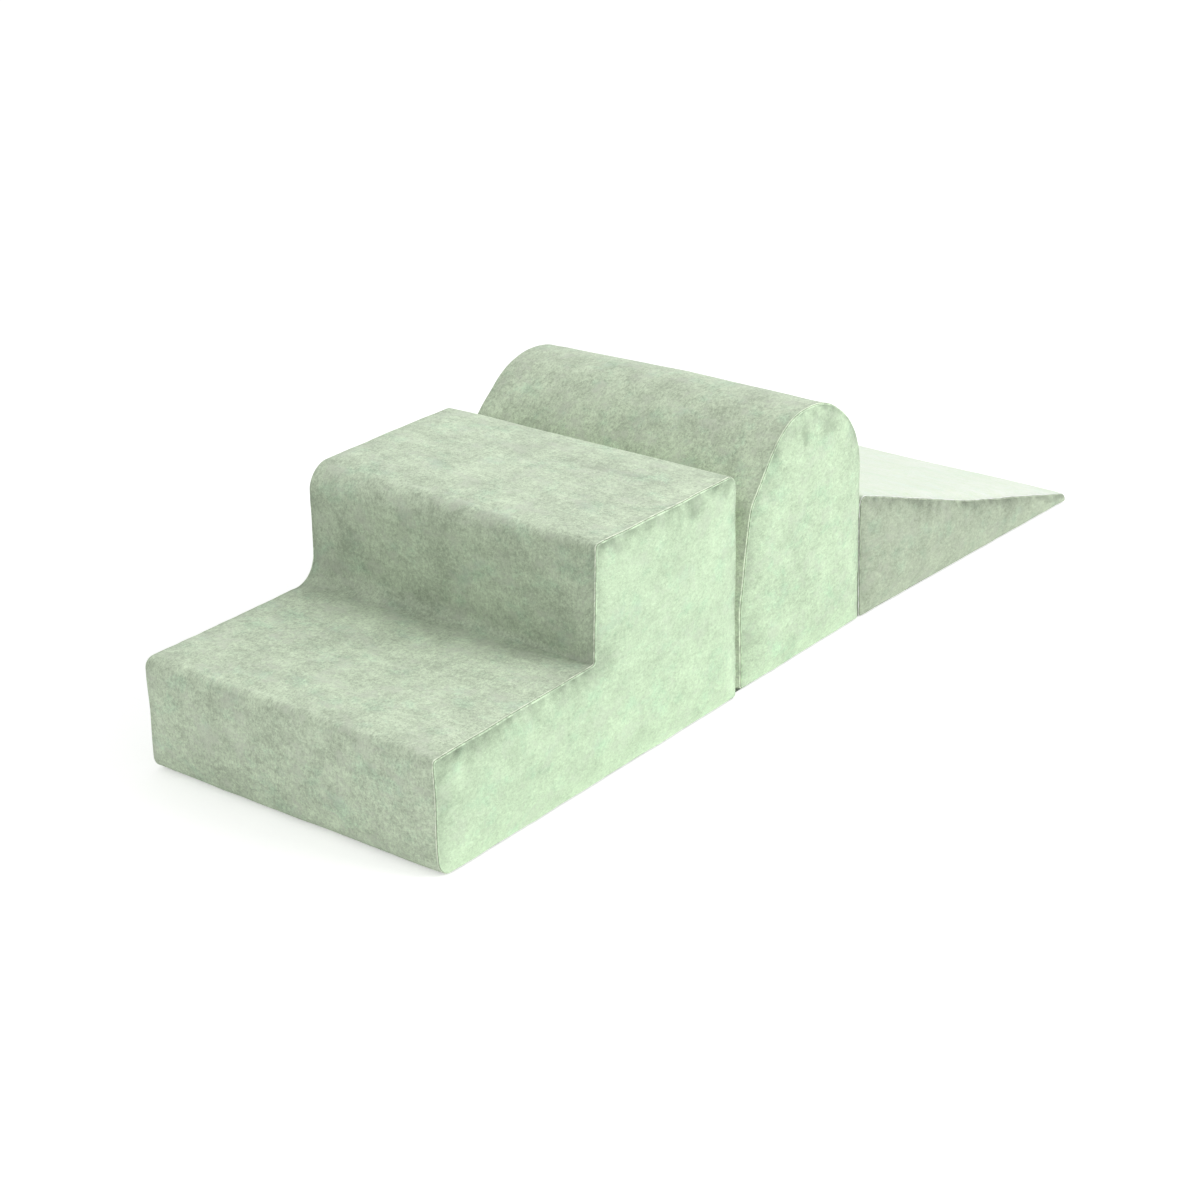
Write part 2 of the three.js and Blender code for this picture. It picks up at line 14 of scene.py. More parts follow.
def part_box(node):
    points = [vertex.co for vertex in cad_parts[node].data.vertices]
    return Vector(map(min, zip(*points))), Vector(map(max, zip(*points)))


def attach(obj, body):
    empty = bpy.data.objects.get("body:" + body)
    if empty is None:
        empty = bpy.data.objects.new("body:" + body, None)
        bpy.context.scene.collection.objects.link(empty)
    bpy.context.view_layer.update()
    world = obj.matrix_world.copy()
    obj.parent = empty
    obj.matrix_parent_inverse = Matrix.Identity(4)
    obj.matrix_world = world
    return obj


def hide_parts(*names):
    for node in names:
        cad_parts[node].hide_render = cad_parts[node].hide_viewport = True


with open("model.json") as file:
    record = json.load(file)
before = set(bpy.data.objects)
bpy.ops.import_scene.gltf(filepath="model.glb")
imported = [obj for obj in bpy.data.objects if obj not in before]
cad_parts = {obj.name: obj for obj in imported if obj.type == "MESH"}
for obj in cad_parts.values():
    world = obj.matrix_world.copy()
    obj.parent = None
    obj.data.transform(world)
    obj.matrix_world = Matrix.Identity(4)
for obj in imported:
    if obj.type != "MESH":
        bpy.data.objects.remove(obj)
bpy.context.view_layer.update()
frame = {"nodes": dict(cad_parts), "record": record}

mm = 0.001

# Camera: where the photograph was taken from, fitted to the corners of the blocks

camera_place = (-3.3781, -2.52185, 1.8756)
camera_yaw = math.radians(52.0313)
camera_pitch = math.radians(23.5534)
camera_roll = math.radians(1.0471)
camera_lens = 77.18
camera_sensor = 36.0

camera = bpy.data.objects.new("camera", bpy.data.cameras.new("camera"))
bpy.context.scene.collection.objects.link(camera)
bpy.context.scene.camera = camera
camera.data.lens = camera_lens
camera.data.sensor_width = camera_sensor
forward = Vector((
    math.sin(camera_yaw) * math.cos(camera_pitch),
    math.cos(camera_yaw) * math.cos(camera_pitch),
    -math.sin(camera_pitch),
))
level_right = Vector((math.cos(camera_yaw), -math.sin(camera_yaw), 0))
level_down = forward.cross(level_right)
right = math.cos(camera_roll) * level_right + math.sin(camera_roll) * level_down
down = -math.sin(camera_roll) * level_right + math.cos(camera_roll) * level_down
turned = Matrix((right, -down, -forward)).transposed()
camera.matrix_world = Matrix.Translation(camera_place) @ turned.to_4x4()

# Outlines of the blocks in X and Z, from the front foot over the top to the back foot

foot_lift = 0.5 * mm
foot_radius = 6 * mm
front_foot_radius_near = 28 * mm
front_foot_radius_far = 26 * mm
first_nose_radius_near = 7 * mm
first_nose_radius_far = 18 * mm
second_nose_radius_near = 8 * mm
second_nose_radius_far = 46 * mm
hollow_radius_near = 6 * mm
hollow_radius_far = 48 * mm
back_top_radius_near = 22 * mm
back_top_radius_far = 24 * mm

step_length = 760 * mm
first_step_height = 198 * mm
second_step_height = 400 * mm
tread_depth = 388 * mm

arch_length = 386 * mm
arch_height = 447 * mm
arch_breast_height = 150 * mm
arch_shoulder_height = 330 * mm
arch_shoulder_setback = 46 * mm
arch_brow_setback = 170 * mm
arch_breast_radius = 250 * mm
arch_shoulder_radius_near = 70 * mm
arch_shoulder_radius_far = 190 * mm
arch_brow_radius_near = 120 * mm
arch_brow_radius_far = 170 * mm
arch_crown_radius = 165 * mm

ramp_length = 718 * mm
ramp_height = 235 * mm
ramp_tip_height = 17 * mm
ramp_slope_dip = 5 * mm
ramp_top_radius_near = 14 * mm
ramp_top_radius_far = 46 * mm
ramp_dip_radius = 900 * mm
ramp_tip_radius = 22 * mm
ramp_tip_foot_radius = 6 * mm
ramp_tip_flare = 28 * mm

# How far the near seam is pulled off a corner, back and up, and how far a corner leans by the far end
hollow_pull = (-9 * mm, 7 * mm)
first_nose_pull = (0, -3 * mm)
arch_front_pull = (20 * mm, 0)
arch_shoulder_pull = (4 * mm, -8 * mm)
arch_brow_pull = (-12 * mm, 0)
arch_crown_pull = (3 * mm, 1 * mm)
ramp_dip_pull = (0, -7 * mm)
riser_lean = (-2 * mm, 0)
arch_shoulder_lean = (-14 * mm, 8 * mm)
arch_brow_lean = (-12 * mm, -5 * mm)
arch_top_lean = (0, -5 * mm)
ramp_dip_lean = (0, 2 * mm)

# Cover: how the panels roll over their edges, draw in at the seams and swell between them

half_width = 298.5 * mm
cloth_thickness = 2.2 * mm
edge_roll = 3 * mm
seam_draw_in = 0.8 * mm
seam_fade = 60 * mm
seam_fade_power = 2.5
side_crown = 6 * mm
arch_side_crown = 8 * mm
side_crown_reach = 70 * mm
foot_spread = 2.5 * mm
foot_spread_height = 90 * mm
seam_gap = 0.15 * mm
seam_depth = 0.5 * mm
lip_height = 0.3 * mm
lip_place = 1.3 * mm
lip_width = 0.8 * mm

# Distances from a seam at which a panel has rows of points, and how far apart the rest are
seam_rows = [0, 0.5 * mm, 1.0 * mm, 1.6 * mm, 2.4 * mm, 3.6 * mm, 5.4 * mm]
fine_pitch = 5 * mm
coarse_rows = [0]
coarse_pitch = 12 * mm
least_arc_steps = 8
least_radius = 1 * mm

# Staggered points fill a side: how far apart their rows are and how clear of the seam rows they stay,
# as shares of the pitch, and how close two points count as one
triangle_rise = math.sqrt(3) / 2
grid_clearance = 0.6
same_point = 1e-7

Corner = namedtuple("Corner", "x z near far pull lean")


def corner(x, z, near, far=None, pull=(0, 0), lean=(0, 0)):
    return Corner(x, z, near, near if far is None else far, pull, lean)


step_corners = [
    corner(0, foot_lift, front_foot_radius_near, front_foot_radius_far),
    corner(0, first_step_height, first_nose_radius_near, first_nose_radius_far, first_nose_pull),
    corner(tread_depth, first_step_height, hollow_radius_near, hollow_radius_far, hollow_pull, riser_lean),
    corner(
        tread_depth, second_step_height, second_nose_radius_near, second_nose_radius_far, lean=riser_lean
    ),
    corner(step_length, second_step_height, back_top_radius_near, back_top_radius_far),
    corner(step_length, foot_lift, foot_radius),
]
arch_corners = [
    corner(0, foot_lift, foot_radius, pull=arch_front_pull),
    corner(0, arch_breast_height, arch_breast_radius, pull=arch_front_pull),
    corner(
        arch_shoulder_setback, arch_shoulder_height, arch_shoulder_radius_near,
        arch_shoulder_radius_far, arch_shoulder_pull, arch_shoulder_lean,
    ),
    corner(
        arch_brow_setback, arch_height, arch_brow_radius_near, arch_brow_radius_far,
        arch_brow_pull, arch_brow_lean,
    ),
    corner(arch_length, arch_height, arch_crown_radius, pull=arch_crown_pull, lean=arch_top_lean),
    corner(arch_length, foot_lift, foot_radius),
]
ramp_corners = [
    corner(0, foot_lift, foot_radius),
    corner(0, ramp_height, ramp_top_radius_near, ramp_top_radius_far),
    corner(
        ramp_length / 2, (ramp_height + ramp_tip_height) / 2 - ramp_slope_dip, ramp_dip_radius,
        pull=ramp_dip_pull, lean=ramp_dip_lean,
    ),
    corner(ramp_length, ramp_tip_height, ramp_tip_radius),
    corner(ramp_length, foot_lift, ramp_tip_foot_radius),
]


class Block:
    """One foam block in its cover, placed where its wrap panel is in the frame. It knows whether
    another block of the row stands ahead of it, towards the ramp's tip, and behind it."""

    def __init__(self, name, corners, length, flare=0.0, crown=side_crown):
        low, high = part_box(f"{name}_cover_wrap")
        self.name = name
        self.corners = corners
        self.length = length
        self.flare = flare
        self.crown = crown
        self.ahead = name != "ramp"
        self.behind = name != "step"
        self.start = low.x
        self.centre_y = (low.y + high.y) / 2
        self.body = f"{name}_block"


blocks = [
    Block("step", step_corners, step_length),
    Block("arch", arch_corners, arch_length, crown=arch_side_crown),
    Block("ramp", ramp_corners, ramp_length, ramp_tip_flare),
]


# Rounded outlines


def bends(sharp):
    """Length of each edge of a sharp outline, the way out of the edges that arrive at and leave each
    corner, and how far the outline turns there."""
    edge = np.roll(sharp, -1, axis=0) - sharp
    length = np.linalg.norm(edge, axis=1)
    leaving = np.stack([-edge[:, 1], edge[:, 0]], axis=1) / length[:, None]
    arriving = np.roll(leaving, 1, axis=0)
    cross = arriving[:, 0] * leaving[:, 1] - arriving[:, 1] * leaving[:, 0]
    return length, arriving, leaving, np.arctan2(cross, (arriving * leaving).sum(axis=1))


def sharp_outline(block, far_share=0.5, pull_share=0.0):
    lean_share = 2 * far_share - 1
    return np.array([
        (
            c.x + c.pull[0] * pull_share + c.lean[0] * max(0, lean_share),
            c.z + c.pull[1] * pull_share + c.lean[1] * max(0, lean_share),
        )
        for c in block.corners
    ])


def fitted_radii(length, turn, radius):
    """The radii, shrunk where the arcs would meet, and the straight that is left after each corner."""
    reach = radius * np.tan(np.abs(turn) / 2)
    room = np.minimum(1, length / (reach + np.roll(reach, -1)))
    radius = radius * np.minimum(np.roll(room, 1), room)
    reach = radius * np.tan(np.abs(turn) / 2)
    return radius, length - reach - np.roll(reach, -1)


def steps_of(block, pitch):
    """Steps of each arc and of each straight at a pitch. A straight of no length has none."""
    length, _, _, turn = bends(sharp_outline(block))
    near = np.array([c.near for c in block.corners])
    far = np.array([c.far for c in block.corners])
    arc_steps = np.maximum(least_arc_steps, np.ceil(np.abs(turn) * np.maximum(near, far) / pitch))
    straight = np.maximum(fitted_radii(length, turn, near)[1], fitted_radii(length, turn, far)[1])
    edge_steps = np.where(straight < pitch, 0, np.round(straight / pitch))
    return arc_steps.astype(int), edge_steps.astype(int)


def far_share_at(y, seam_place=half_width):
    """0 at the near seam and 1 at the far seam."""
    return (y / seam_place + 1) / 2


def outline(block, far_share, pull_share, inset, pitch, closed=False):
    """Points of the rounded profile and the way out at each, moved in by the inset.
    How many there are depends only on the block and the pitch."""
    arc_steps, edge_steps = steps_of(block, pitch)
    sharp = sharp_outline(block, far_share, pull_share)
    length, arriving, leaving, turn = bends(sharp)
    way = np.where(turn < 0, 1.0, -1.0)
    wanted = np.array([c.near + (c.far - c.near) * far_share for c in block.corners])
    radius, _ = fitted_radii(length, turn, wanted)
    radius = np.maximum(radius - way * inset, least_radius)
    drawn_in = way * inset * np.tan(np.abs(turn) / 2)
    length = np.maximum(length - drawn_in - np.roll(drawn_in, -1), least_radius / 2)
    radius, _ = fitted_radii(length, turn, radius)
    mitre = (arriving + leaving) / (1 + (arriving * leaving).sum(axis=1))[:, None]
    centre = sharp - (inset + way * radius)[:, None] * mitre

    arcs = []
    for i in range(len(sharp)):
        first = math.atan2(arriving[i, 1], arriving[i, 0])
        angles = first + turn[i] * np.linspace(0, 1, arc_steps[i] + 1)
        normal = np.stack([np.cos(angles), np.sin(angles)], axis=1)
        arcs.append((centre[i] + way[i] * radius[i] * normal, normal))
    stretches = []
    for i, (points, normal) in enumerate(arcs):
        first = 1 if i > 0 and edge_steps[i - 1] == 0 else 0
        stretches.append((points[first:], normal[first:]))
        if i + 1 == len(arcs) and not closed:
            break
        following = arcs[(i + 1) % len(arcs)][0]
        share = np.linspace(0, 1, max(1, edge_steps[i]) + 1)[1:-1, None]
        between = points[-1] + share * (following[0] - points[-1])
        stretches.append((between, np.repeat(normal[-1:], len(between), axis=0)))
    return np.concatenate([s[0] for s in stretches]), np.concatenate([s[1] for s in stretches])


def rolled(distance):
    """How far in from the side plane and how far under the face a point of the cloth lies, and how
    far it leans to the side as an angle, at a distance from the seam along the wrap."""
    angle = math.pi / 4 + distance / edge_roll
    if angle < math.pi / 2:
        return edge_roll * (1 - math.cos(angle)), edge_roll * (1 - math.sin(angle)), math.pi / 2 - angle
    return distance + edge_roll * (1 - math.pi / 4), 0.0, 0.0


def lip(distance):
    """Height of the thin ridge of cloth that stands along a seam."""
    return lip_height * math.exp(-((distance - lip_place) / lip_width) ** 2)


def sink_seam(points, normals, first_row, second_row):
    """Turns the first row of a panel down into the seam, a little off the next panel."""
    away = points[second_row] - points[first_row]
    away /= np.linalg.norm(away, axis=1)[:, None]
    points[first_row] += seam_gap * away - seam_depth * normals[first_row]


def placed(block, points):
    """Block points in the row frame, widened towards the block's far end by its flare and a little
    towards the floor, where the foam spreads under its own weight."""
    out = np.array(points, float)
    spread = foot_spread * np.exp(-np.maximum(out[:, 2], 0) / foot_spread_height)
    out[:, 1] *= 1 + block.flare / half_width * out[:, 0] / block.length + spread / half_width
    return out + [block.start, block.centre_y, 0]


# Meshes


def faces_between(rows, count, closed=False):
    """Four-sided faces between rows of as many points each, which follow one another in a list.
    In a closed row the last point is joined to the first."""
    out = []
    for r in range(rows - 1):
        for j in range(count if closed else count - 1):
            a, b = r * count + j, r * count + (j + 1) % count
            out.append((a, b, b + count, a + count))
    return out


def mesh_of(name, points, faces):
    mesh = bpy.data.meshes.new(name)
    mesh.from_pydata([tuple(p) for p in points], [], faces)
    return mesh


def set_values(mesh, label, values):
    mesh.attributes.new(label, "FLOAT", "POINT").data.foreach_set("value", values)


def face_outwards(mesh, weld_distance=None):
    """Turns all faces outwards, after points that are as close as a weld distance are made one."""
    shape = bmesh.new()
    shape.from_mesh(mesh)
    if weld_distance:
        bmesh.ops.remove_doubles(shape, verts=shape.verts, dist=weld_distance)
    bmesh.ops.recalc_face_normals(shape, faces=shape.faces)
    shape.to_mesh(mesh)
    shape.free()


# Panels of the cover

# Points, the way out at each, how far the nearest seam is, the place along and across the pile, the
# faces, the places in the block, and how much the cover faces up at the nearest seam
Panel = namedtuple("Panel", "points normals seam nap faces at up")


def width_places(half, rows, pitch):
    """Distances from the seam at one side, up to the middle."""
    last = half - edge_roll
    count = max(2, round((last - rows[-1]) / pitch))
    return list(rows) + list(np.linspace(rows[-1], last, count + 1)[1:])


def wrap_panel(block, rows, pitch, closed=False, inset=0.0):
    """The cloth that wraps a block from its front foot over the top to its back foot.
    A closed one goes round under the block as well, and an inset one lies inside it."""
    half = half_width - inset
    near = width_places(half, rows, pitch)
    stations = [(-1, d) for d in near] + [(1, d) for d in reversed(near[:-1])]
    at, normals, seam, nap = [], [], [], []
    for side, distance in stations:
        inward, under, lean = rolled(distance)
        y = side * (half - inward)
        fade = max(0, 1 - distance / seam_fade) ** seam_fade_power
        pull_share = fade if side < 0 else 0
        under += seam_draw_in * fade + inset
        far_share = far_share_at(y, half - rolled(0)[0])
        profile, out = outline(block, far_share, pull_share, under, pitch, closed)
        along = np.concatenate([[0], np.cumsum(np.linalg.norm(np.diff(profile, axis=0), axis=1))])
        at.append(np.stack([profile[:, 0], np.full(len(profile), y), profile[:, 1]], axis=1))
        flat = math.cos(lean)
        tilt = np.full(len(profile), side * math.sin(lean))
        normals.append(np.stack([out[:, 0] * flat, tilt, out[:, 1] * flat], axis=1))
        seam.append(np.full(len(profile), distance))
        nap.append(np.stack([along, np.full(len(profile), y)], axis=1))
    count = len(at[0])
    faces = faces_between(len(stations), count, closed)
    at, normals = np.concatenate(at), np.concatenate(normals)
    up = normals[:, 2].copy()
    if len(rows) > 1:
        last = len(at) - count
        sink_seam(at, normals, slice(0, count), slice(count, 2 * count))
        sink_seam(at, normals, slice(last, None), slice(last - count, last))
    return Panel(placed(block, at), normals, np.concatenate(seam), np.concatenate(nap), faces, at, up)


def distance_to(loop, points):
    """Distance from each point to a closed loop of straight stretches, the nearest stretch, and
    whether the point lies inside."""
    best = np.full(len(points), np.inf)
    nearest = np.zeros(len(points), int)
    inside = np.zeros(len(points), bool)
    for i, (a, b) in enumerate(zip(loop, np.roll(loop, -1, axis=0))):
        d = b - a
        share = np.clip(((points - a) @ d) / (d @ d), 0, 1)
        away = np.linalg.norm(points - (a + share[:, None] * d), axis=1)
        nearest[away < best] = i
        best = np.minimum(best, away)
        crosses = (a[1] > points[:, 1]) != (b[1] > points[:, 1])
        with np.errstate(divide="ignore", invalid="ignore"):
            reach = a[0] + (points[:, 1] - a[1]) / (b[1] - a[1]) * d[0]
        inside ^= crosses & (points[:, 0] < reach)
    return best, nearest, inside


def side_panel(block, side, rows, pitch, inset=0.0):
    """The cloth on one side of a block, inside the loop of its seam."""
    far_share = 0 if side < 0 else 1
    pull_share = 1 if side < 0 else 0
    loops, depths, leans = [], [], []
    for distance in rows:
        under, inward, lean = rolled(distance)
        under += seam_draw_in + inset
        loop, out = outline(block, far_share, pull_share, under, pitch, closed=True)
        loops.append(loop)
        depths.append(np.full(len(loop), inward))
        leans.append(out * math.sin(lean))
    _, rim_out = outline(block, far_share, pull_share, seam_draw_in + inset, pitch, closed=True)
    low, high = loops[0].min(axis=0), loops[0].max(axis=0)
    along = np.arange(low[0], high[0], pitch)
    up = np.arange(low[1], high[1], pitch * triangle_rise)
    grid = np.array([(x + (i % 2) * pitch / 2, z) for i, z in enumerate(up) for x in along])
    clear, _, inside = distance_to(loops[-1], grid)
    grid = grid[inside & (clear > pitch * grid_clearance)]
    # The triangulation works in single precision, so the tests below use the same points
    flat = np.concatenate(loops + [grid]).astype(np.float32).astype(float)
    count = len(loops[0])
    rim = flat[:count]
    edges = [
        (r * count + j, r * count + (j + 1) % count) for r in range(len(rows)) for j in range(count)
    ]
    _, _, faces, sources, _, _ = geometry.delaunay_2d_cdt(
        [Vector(p) for p in flat], edges, [], 1, same_point, True
    )
    order = [min(s) for s in sources]
    from_rim, nearest, _ = distance_to(rim, flat)
    ring = np.concatenate([np.full(count, d) for d in rows])
    seam = np.concatenate([ring, from_rim[len(ring):] + rolled(0)[1]])
    depth = np.concatenate(depths + [np.zeros(len(grid))])
    swell = block.crown * (1 - np.clip(1 - from_rim / side_crown_reach, 0, 1) ** 3)
    lean = np.concatenate(leans + [np.zeros((len(grid), 2))])
    at = np.stack([flat[:, 0], side * (half_width - inset - depth + swell), flat[:, 1]], axis=1)
    upright = np.sqrt(np.maximum(0, 1 - (lean ** 2).sum(axis=1)))
    normals = np.stack([lean[:, 0], side * upright, lean[:, 1]], axis=1)
    if len(rows) > 1:
        sink_seam(at, normals, slice(0, count), slice(count, 2 * count))
    faces = [tuple(order[v] for v in (f if side < 0 else reversed(f))) for f in faces]
    _, _, kept = distance_to(rim, flat[np.array(faces)].mean(axis=1))
    faces = [f for f, keep in zip(faces, kept) if keep]
    return Panel(placed(block, at), normals, seam, flat, faces, at, rim_out[nearest, 1])


# Points of two panels that are as close as this are one
skin_weld_distance = 0.01 * mm


def closed_skin(block, pitch, inset=0.0):
    """Closed skin of a block in one mesh: the wrap with its underside, and both sides."""
    parts = [wrap_panel(block, coarse_rows, pitch, True, inset)]
    parts += [side_panel(block, side, coarse_rows, pitch, inset) for side in (-1, 1)]
    faces = []
    start = 0
    for p in parts:
        faces += [tuple(start + v for v in f) for f in p.faces]
        start += len(p.points)
    mesh = mesh_of(f"{block.name}_skin", np.concatenate([p.points for p in parts]), faces)
    set_values(mesh, "seam", np.concatenate([p.seam for p in parts]))
    face_outwards(mesh, skin_weld_distance)
    return mesh


# Simulation of the cover as one closed skin that is blown out against its seams

cloth_frames = 20
cloth_quality = 6
cloth_mass = 0.3
cloth_pressure = 4.0
floor_band = 2 * mm
seam_hold = 0.6
most_swell = 4 * mm
least_swell = 1e-9
even_rounds = 14


def simulate(block):
    """Rest points of the coarse skin, its triangles and how far the cloth moved at each point."""
    mesh = closed_skin(block, coarse_pitch)
    skin = bpy.data.objects.new(f"{block.name}_skin", mesh)
    bpy.context.scene.collection.objects.link(skin)
    rest = np.zeros(len(mesh.vertices) * 3)
    mesh.vertices.foreach_get("co", rest)
    rest = rest.reshape(-1, 3)
    seam = np.zeros(len(mesh.vertices), np.float32)
    mesh.attributes["seam"].data.foreach_get("value", seam)
    held = skin.vertex_groups.new(name="held")
    for i, (point, distance) in enumerate(zip(rest, seam)):
        if point[2] < floor_band:
            held.add([i], 1.0, "REPLACE")
        elif distance < coarse_pitch / 2:
            held.add([i], seam_hold, "REPLACE")
    cloth = skin.modifiers.new("cloth", "CLOTH")
    cloth.settings.quality = cloth_quality
    cloth.settings.mass = cloth_mass
    cloth.settings.use_pressure = True
    cloth.settings.uniform_pressure_force = cloth_pressure
    cloth.settings.vertex_group_mass = "held"
    cloth.settings.effector_weights.gravity = 0
    cloth.collision_settings.use_collision = False
    cloth.point_cache.frame_start = 1
    cloth.point_cache.frame_end = cloth_frames
    for frame_number in range(1, cloth_frames + 1):
        bpy.context.scene.frame_set(frame_number)
    evaluated = skin.evaluated_get(bpy.context.evaluated_depsgraph_get())
    moved = np.zeros(len(mesh.vertices) * 3)
    evaluated.data.vertices.foreach_get("co", moved)
    shift = moved.reshape(-1, 3) - rest
    far = np.linalg.norm(shift, axis=1)
    shift *= (most_swell * np.tanh(far / most_swell) / np.maximum(far, least_swell))[:, None]
    faces = [tuple(p.vertices) for p in mesh.polygons]
    bpy.context.scene.frame_set(1)
    bpy.data.objects.remove(skin)
    bpy.data.meshes.remove(mesh)
    return rest, faces, shift


def shift_at(swell, points):
    """How far the simulated skin moved, at points that lie on it."""
    rest, faces, shift = swell
    triangles = [(f[0], f[i], f[i + 1]) for f in faces for i in range(1, len(f) - 1)]
    tree = BVHTree.FromPolygons([Vector(p) for p in rest], triangles)
    out = np.zeros((len(points), 3))
    for i, point in enumerate(points):
        at, _, index, _ = tree.find_nearest(Vector(point))
        a, b, c = (Vector(rest[v]) for v in triangles[index])
        whole = (b - a).cross(c - a)
        area = whole.length_squared
        u = (c - b).cross(at - b).dot(whole) / area
        v = (a - c).cross(at - c).dot(whole) / area
        out[i] = u * shift[triangles[index][0]] + v * shift[triangles[index][1]]
        out[i] += (1 - u - v) * shift[triangles[index][2]]
    return out


def smoothed(values, faces, held, rounds):
    """Values at points, evened out along the edges of the faces. The held points keep theirs."""
    edges = {tuple(sorted((f[i], f[(i + 1) % len(f)]))) for f in faces for i in range(len(f))}
    edges = np.array(sorted(edges))
    count = np.maximum(1, np.bincount(edges.ravel(), minlength=len(values)))[:, None]
    kept = values[held]
    for _ in range(rounds):
        total = np.zeros_like(values)
        np.add.at(total, edges[:, 0], values[edges[:, 1]])
        np.add.at(total, edges[:, 1], values[edges[:, 0]])
        values = values / 2 + total / count / 2
        values[held] = kept
    return values


# Small unevenness of stuffed cloth: broad waves, and puckers that die away from the seams

broad_wave, broad_height = 110 * mm, 0.9 * mm
small_wave, small_height = 42 * mm, 0.4 * mm
pucker_wave, pucker_height, pucker_reach = 19 * mm, 0.8 * mm, 14 * mm
pucker_patch = 160 * mm
wander_wave, wander = 70 * mm, 1.1 * mm

# Noise vectors start from the time of day unless they are given a seed
wander_seed = 1
noise.seed_set(wander_seed)


def uneven(points, seam):
    """Height of the unevenness at points, given their distance from a seam."""
    out = np.zeros(len(points))
    for i, (point, distance) in enumerate(zip(points, seam)):
        at = Vector(point)
        near_seam = math.exp(-distance / pucker_reach)
        patch = max(0.0, 0.5 + noise.noise(at / pucker_patch))
        out[i] = broad_height * noise.noise(at / broad_wave)
        out[i] += small_height * noise.noise(at / small_wave)
        out[i] += pucker_height * patch * near_seam * noise.noise(at / pucker_wave)
    return out


def wandering(points, seam):
    """Sideways shift of the cloth at points near a seam, which makes the seam run a little uneven."""
    out = np.zeros((len(points), 3))
    for i, (point, distance) in enumerate(zip(points, seam)):
        if distance < 2 * wander_wave:
            fade = math.exp(-distance / wander_wave)
            out[i] = wander * fade * noise.noise_vector(Vector(point) / wander_wave)
    return out


def pressed(block, points):
    """Flattens the walls that stand against a neighbouring block."""
    front = block.start if block.behind else -math.inf
    back = block.start + block.length if block.ahead else math.inf
    points[:, 0] = np.clip(points[:, 0], front, back)


# Painted shade and painted light in the pile's colour: the share of light lost where little light falls,
# and the light added at the foot of a side

tread_hollow_painted_shade, tread_hollow_reach = 0.30, 70 * mm
riser_hollow_painted_shade, riser_hollow_reach = 0.22, 42 * mm
riser_painted_shade, riser_loss_start = 0.20, 30 * mm
riser_room = 60 * mm
nose_painted_shade, nose_line_start, nose_line_reach = 0.10, 2 * mm, 5 * mm
nose_wall_depth = 10 * mm
top_seam_loss, top_seam_reach = 0.34, 20 * mm
side_seam_loss, side_seam_reach = 0.20, 9 * mm
wrap_seam_loss, wrap_seam_reach = 0.14, 7 * mm
seam_loss_wave, seam_loss_ragged = 21 * mm, 1.3
# Painted light at the foot of a side, paler towards the floor
foot_painted_light, foot_painted_light_reach = 0.22, 30 * mm
# Painted shade on the ramp's high wall
ramp_wall_painted_shade = 0.36


def ragged_share(panel):
    """Shares about 1 that rise and fall from place to place."""
    lumps = [noise.noise(Vector(p) / seam_loss_wave) for p in panel.at]
    return np.maximum(0, 1 + seam_loss_ragged * np.array(lumps))


def wrap_shade(block, panel):
    """Painted shade on a wrap: along its seams and, on the steps, in the hollow, on the riser and
    under the first nose. On the ramp it darkens the high wall, where it takes back the painted light
    of the ramp wrap's pale colour."""
    # Painted shade along the seams, in ragged patches
    out = wrap_seam_loss * ragged_share(panel) * np.exp(-panel.seam / wrap_seam_reach)
    # Painted shade on the ramp's high wall, where the wrap faces towards the arch, which takes back the
    # painted light of its pale wrap colour
    if block.name == "ramp":
        out += ramp_wall_painted_shade * np.clip(-panel.normals[:, 0], 0, 1)
    if block.name != "step":
        return out
    # Painted shade of the steps: in the hollow between tread and riser, over the riser, and in a line under
    # the first nose
    x, z = panel.at[:, 0], panel.at[:, 2]
    facing_up = np.clip(panel.up, 0, 1)
    before = tread_depth - x
    above = z - first_step_height
    on_tread = (x < tread_depth + hollow_radius_far) & (above < hollow_radius_far)
    out += on_tread * facing_up * tread_hollow_painted_shade * np.exp(-(np.maximum(before, 0) / tread_hollow_reach) ** 2)
    on_riser = (1 - facing_up) * (before < hollow_radius_far) * (x < tread_depth + riser_room) * (above > 0)
    out += on_riser * riser_hollow_painted_shade * np.exp(-np.maximum(above, 0) / riser_hollow_reach)
    out += on_riser * riser_painted_shade * np.clip(above / riser_loss_start, 0, 1)
    below_nose = first_step_height - first_nose_radius_near - z
    under_nose = (x < nose_wall_depth) * np.clip(below_nose / nose_line_start, 0, 1)
    out += under_nose * nose_painted_shade * np.exp(-np.maximum(below_nose, 0) / nose_line_reach)
    return out


def side_shade(block, panel):
    """Painted shade on a side along its seams, most below those that face up, none above the floor."""
    # Painted shade, strongest and widest below the seams that face up
    up = np.clip(panel.up, 0, 1)
    loss = side_seam_loss * (1 + np.minimum(panel.up, 0)) + (top_seam_loss - side_seam_loss) * up
    reach = side_seam_reach + (top_seam_reach - side_seam_reach) * up
    return loss * ragged_share(panel) * np.exp(-panel.seam / reach)


# Marks that hands and feet left in the pile, and painted light at the foot of a side

# Where in the block a mark is and how far it reaches, in millimetres, and how much paler it is
Mark = namedtuple("Mark", "place reach strength")
mark_reach_across = 400


def side_mark(place, reach, strength):
    """A mark on a side, from its X and Z."""
    return Mark((place[0], 0, place[1]), (reach[0], mark_reach_across, reach[1]), strength)


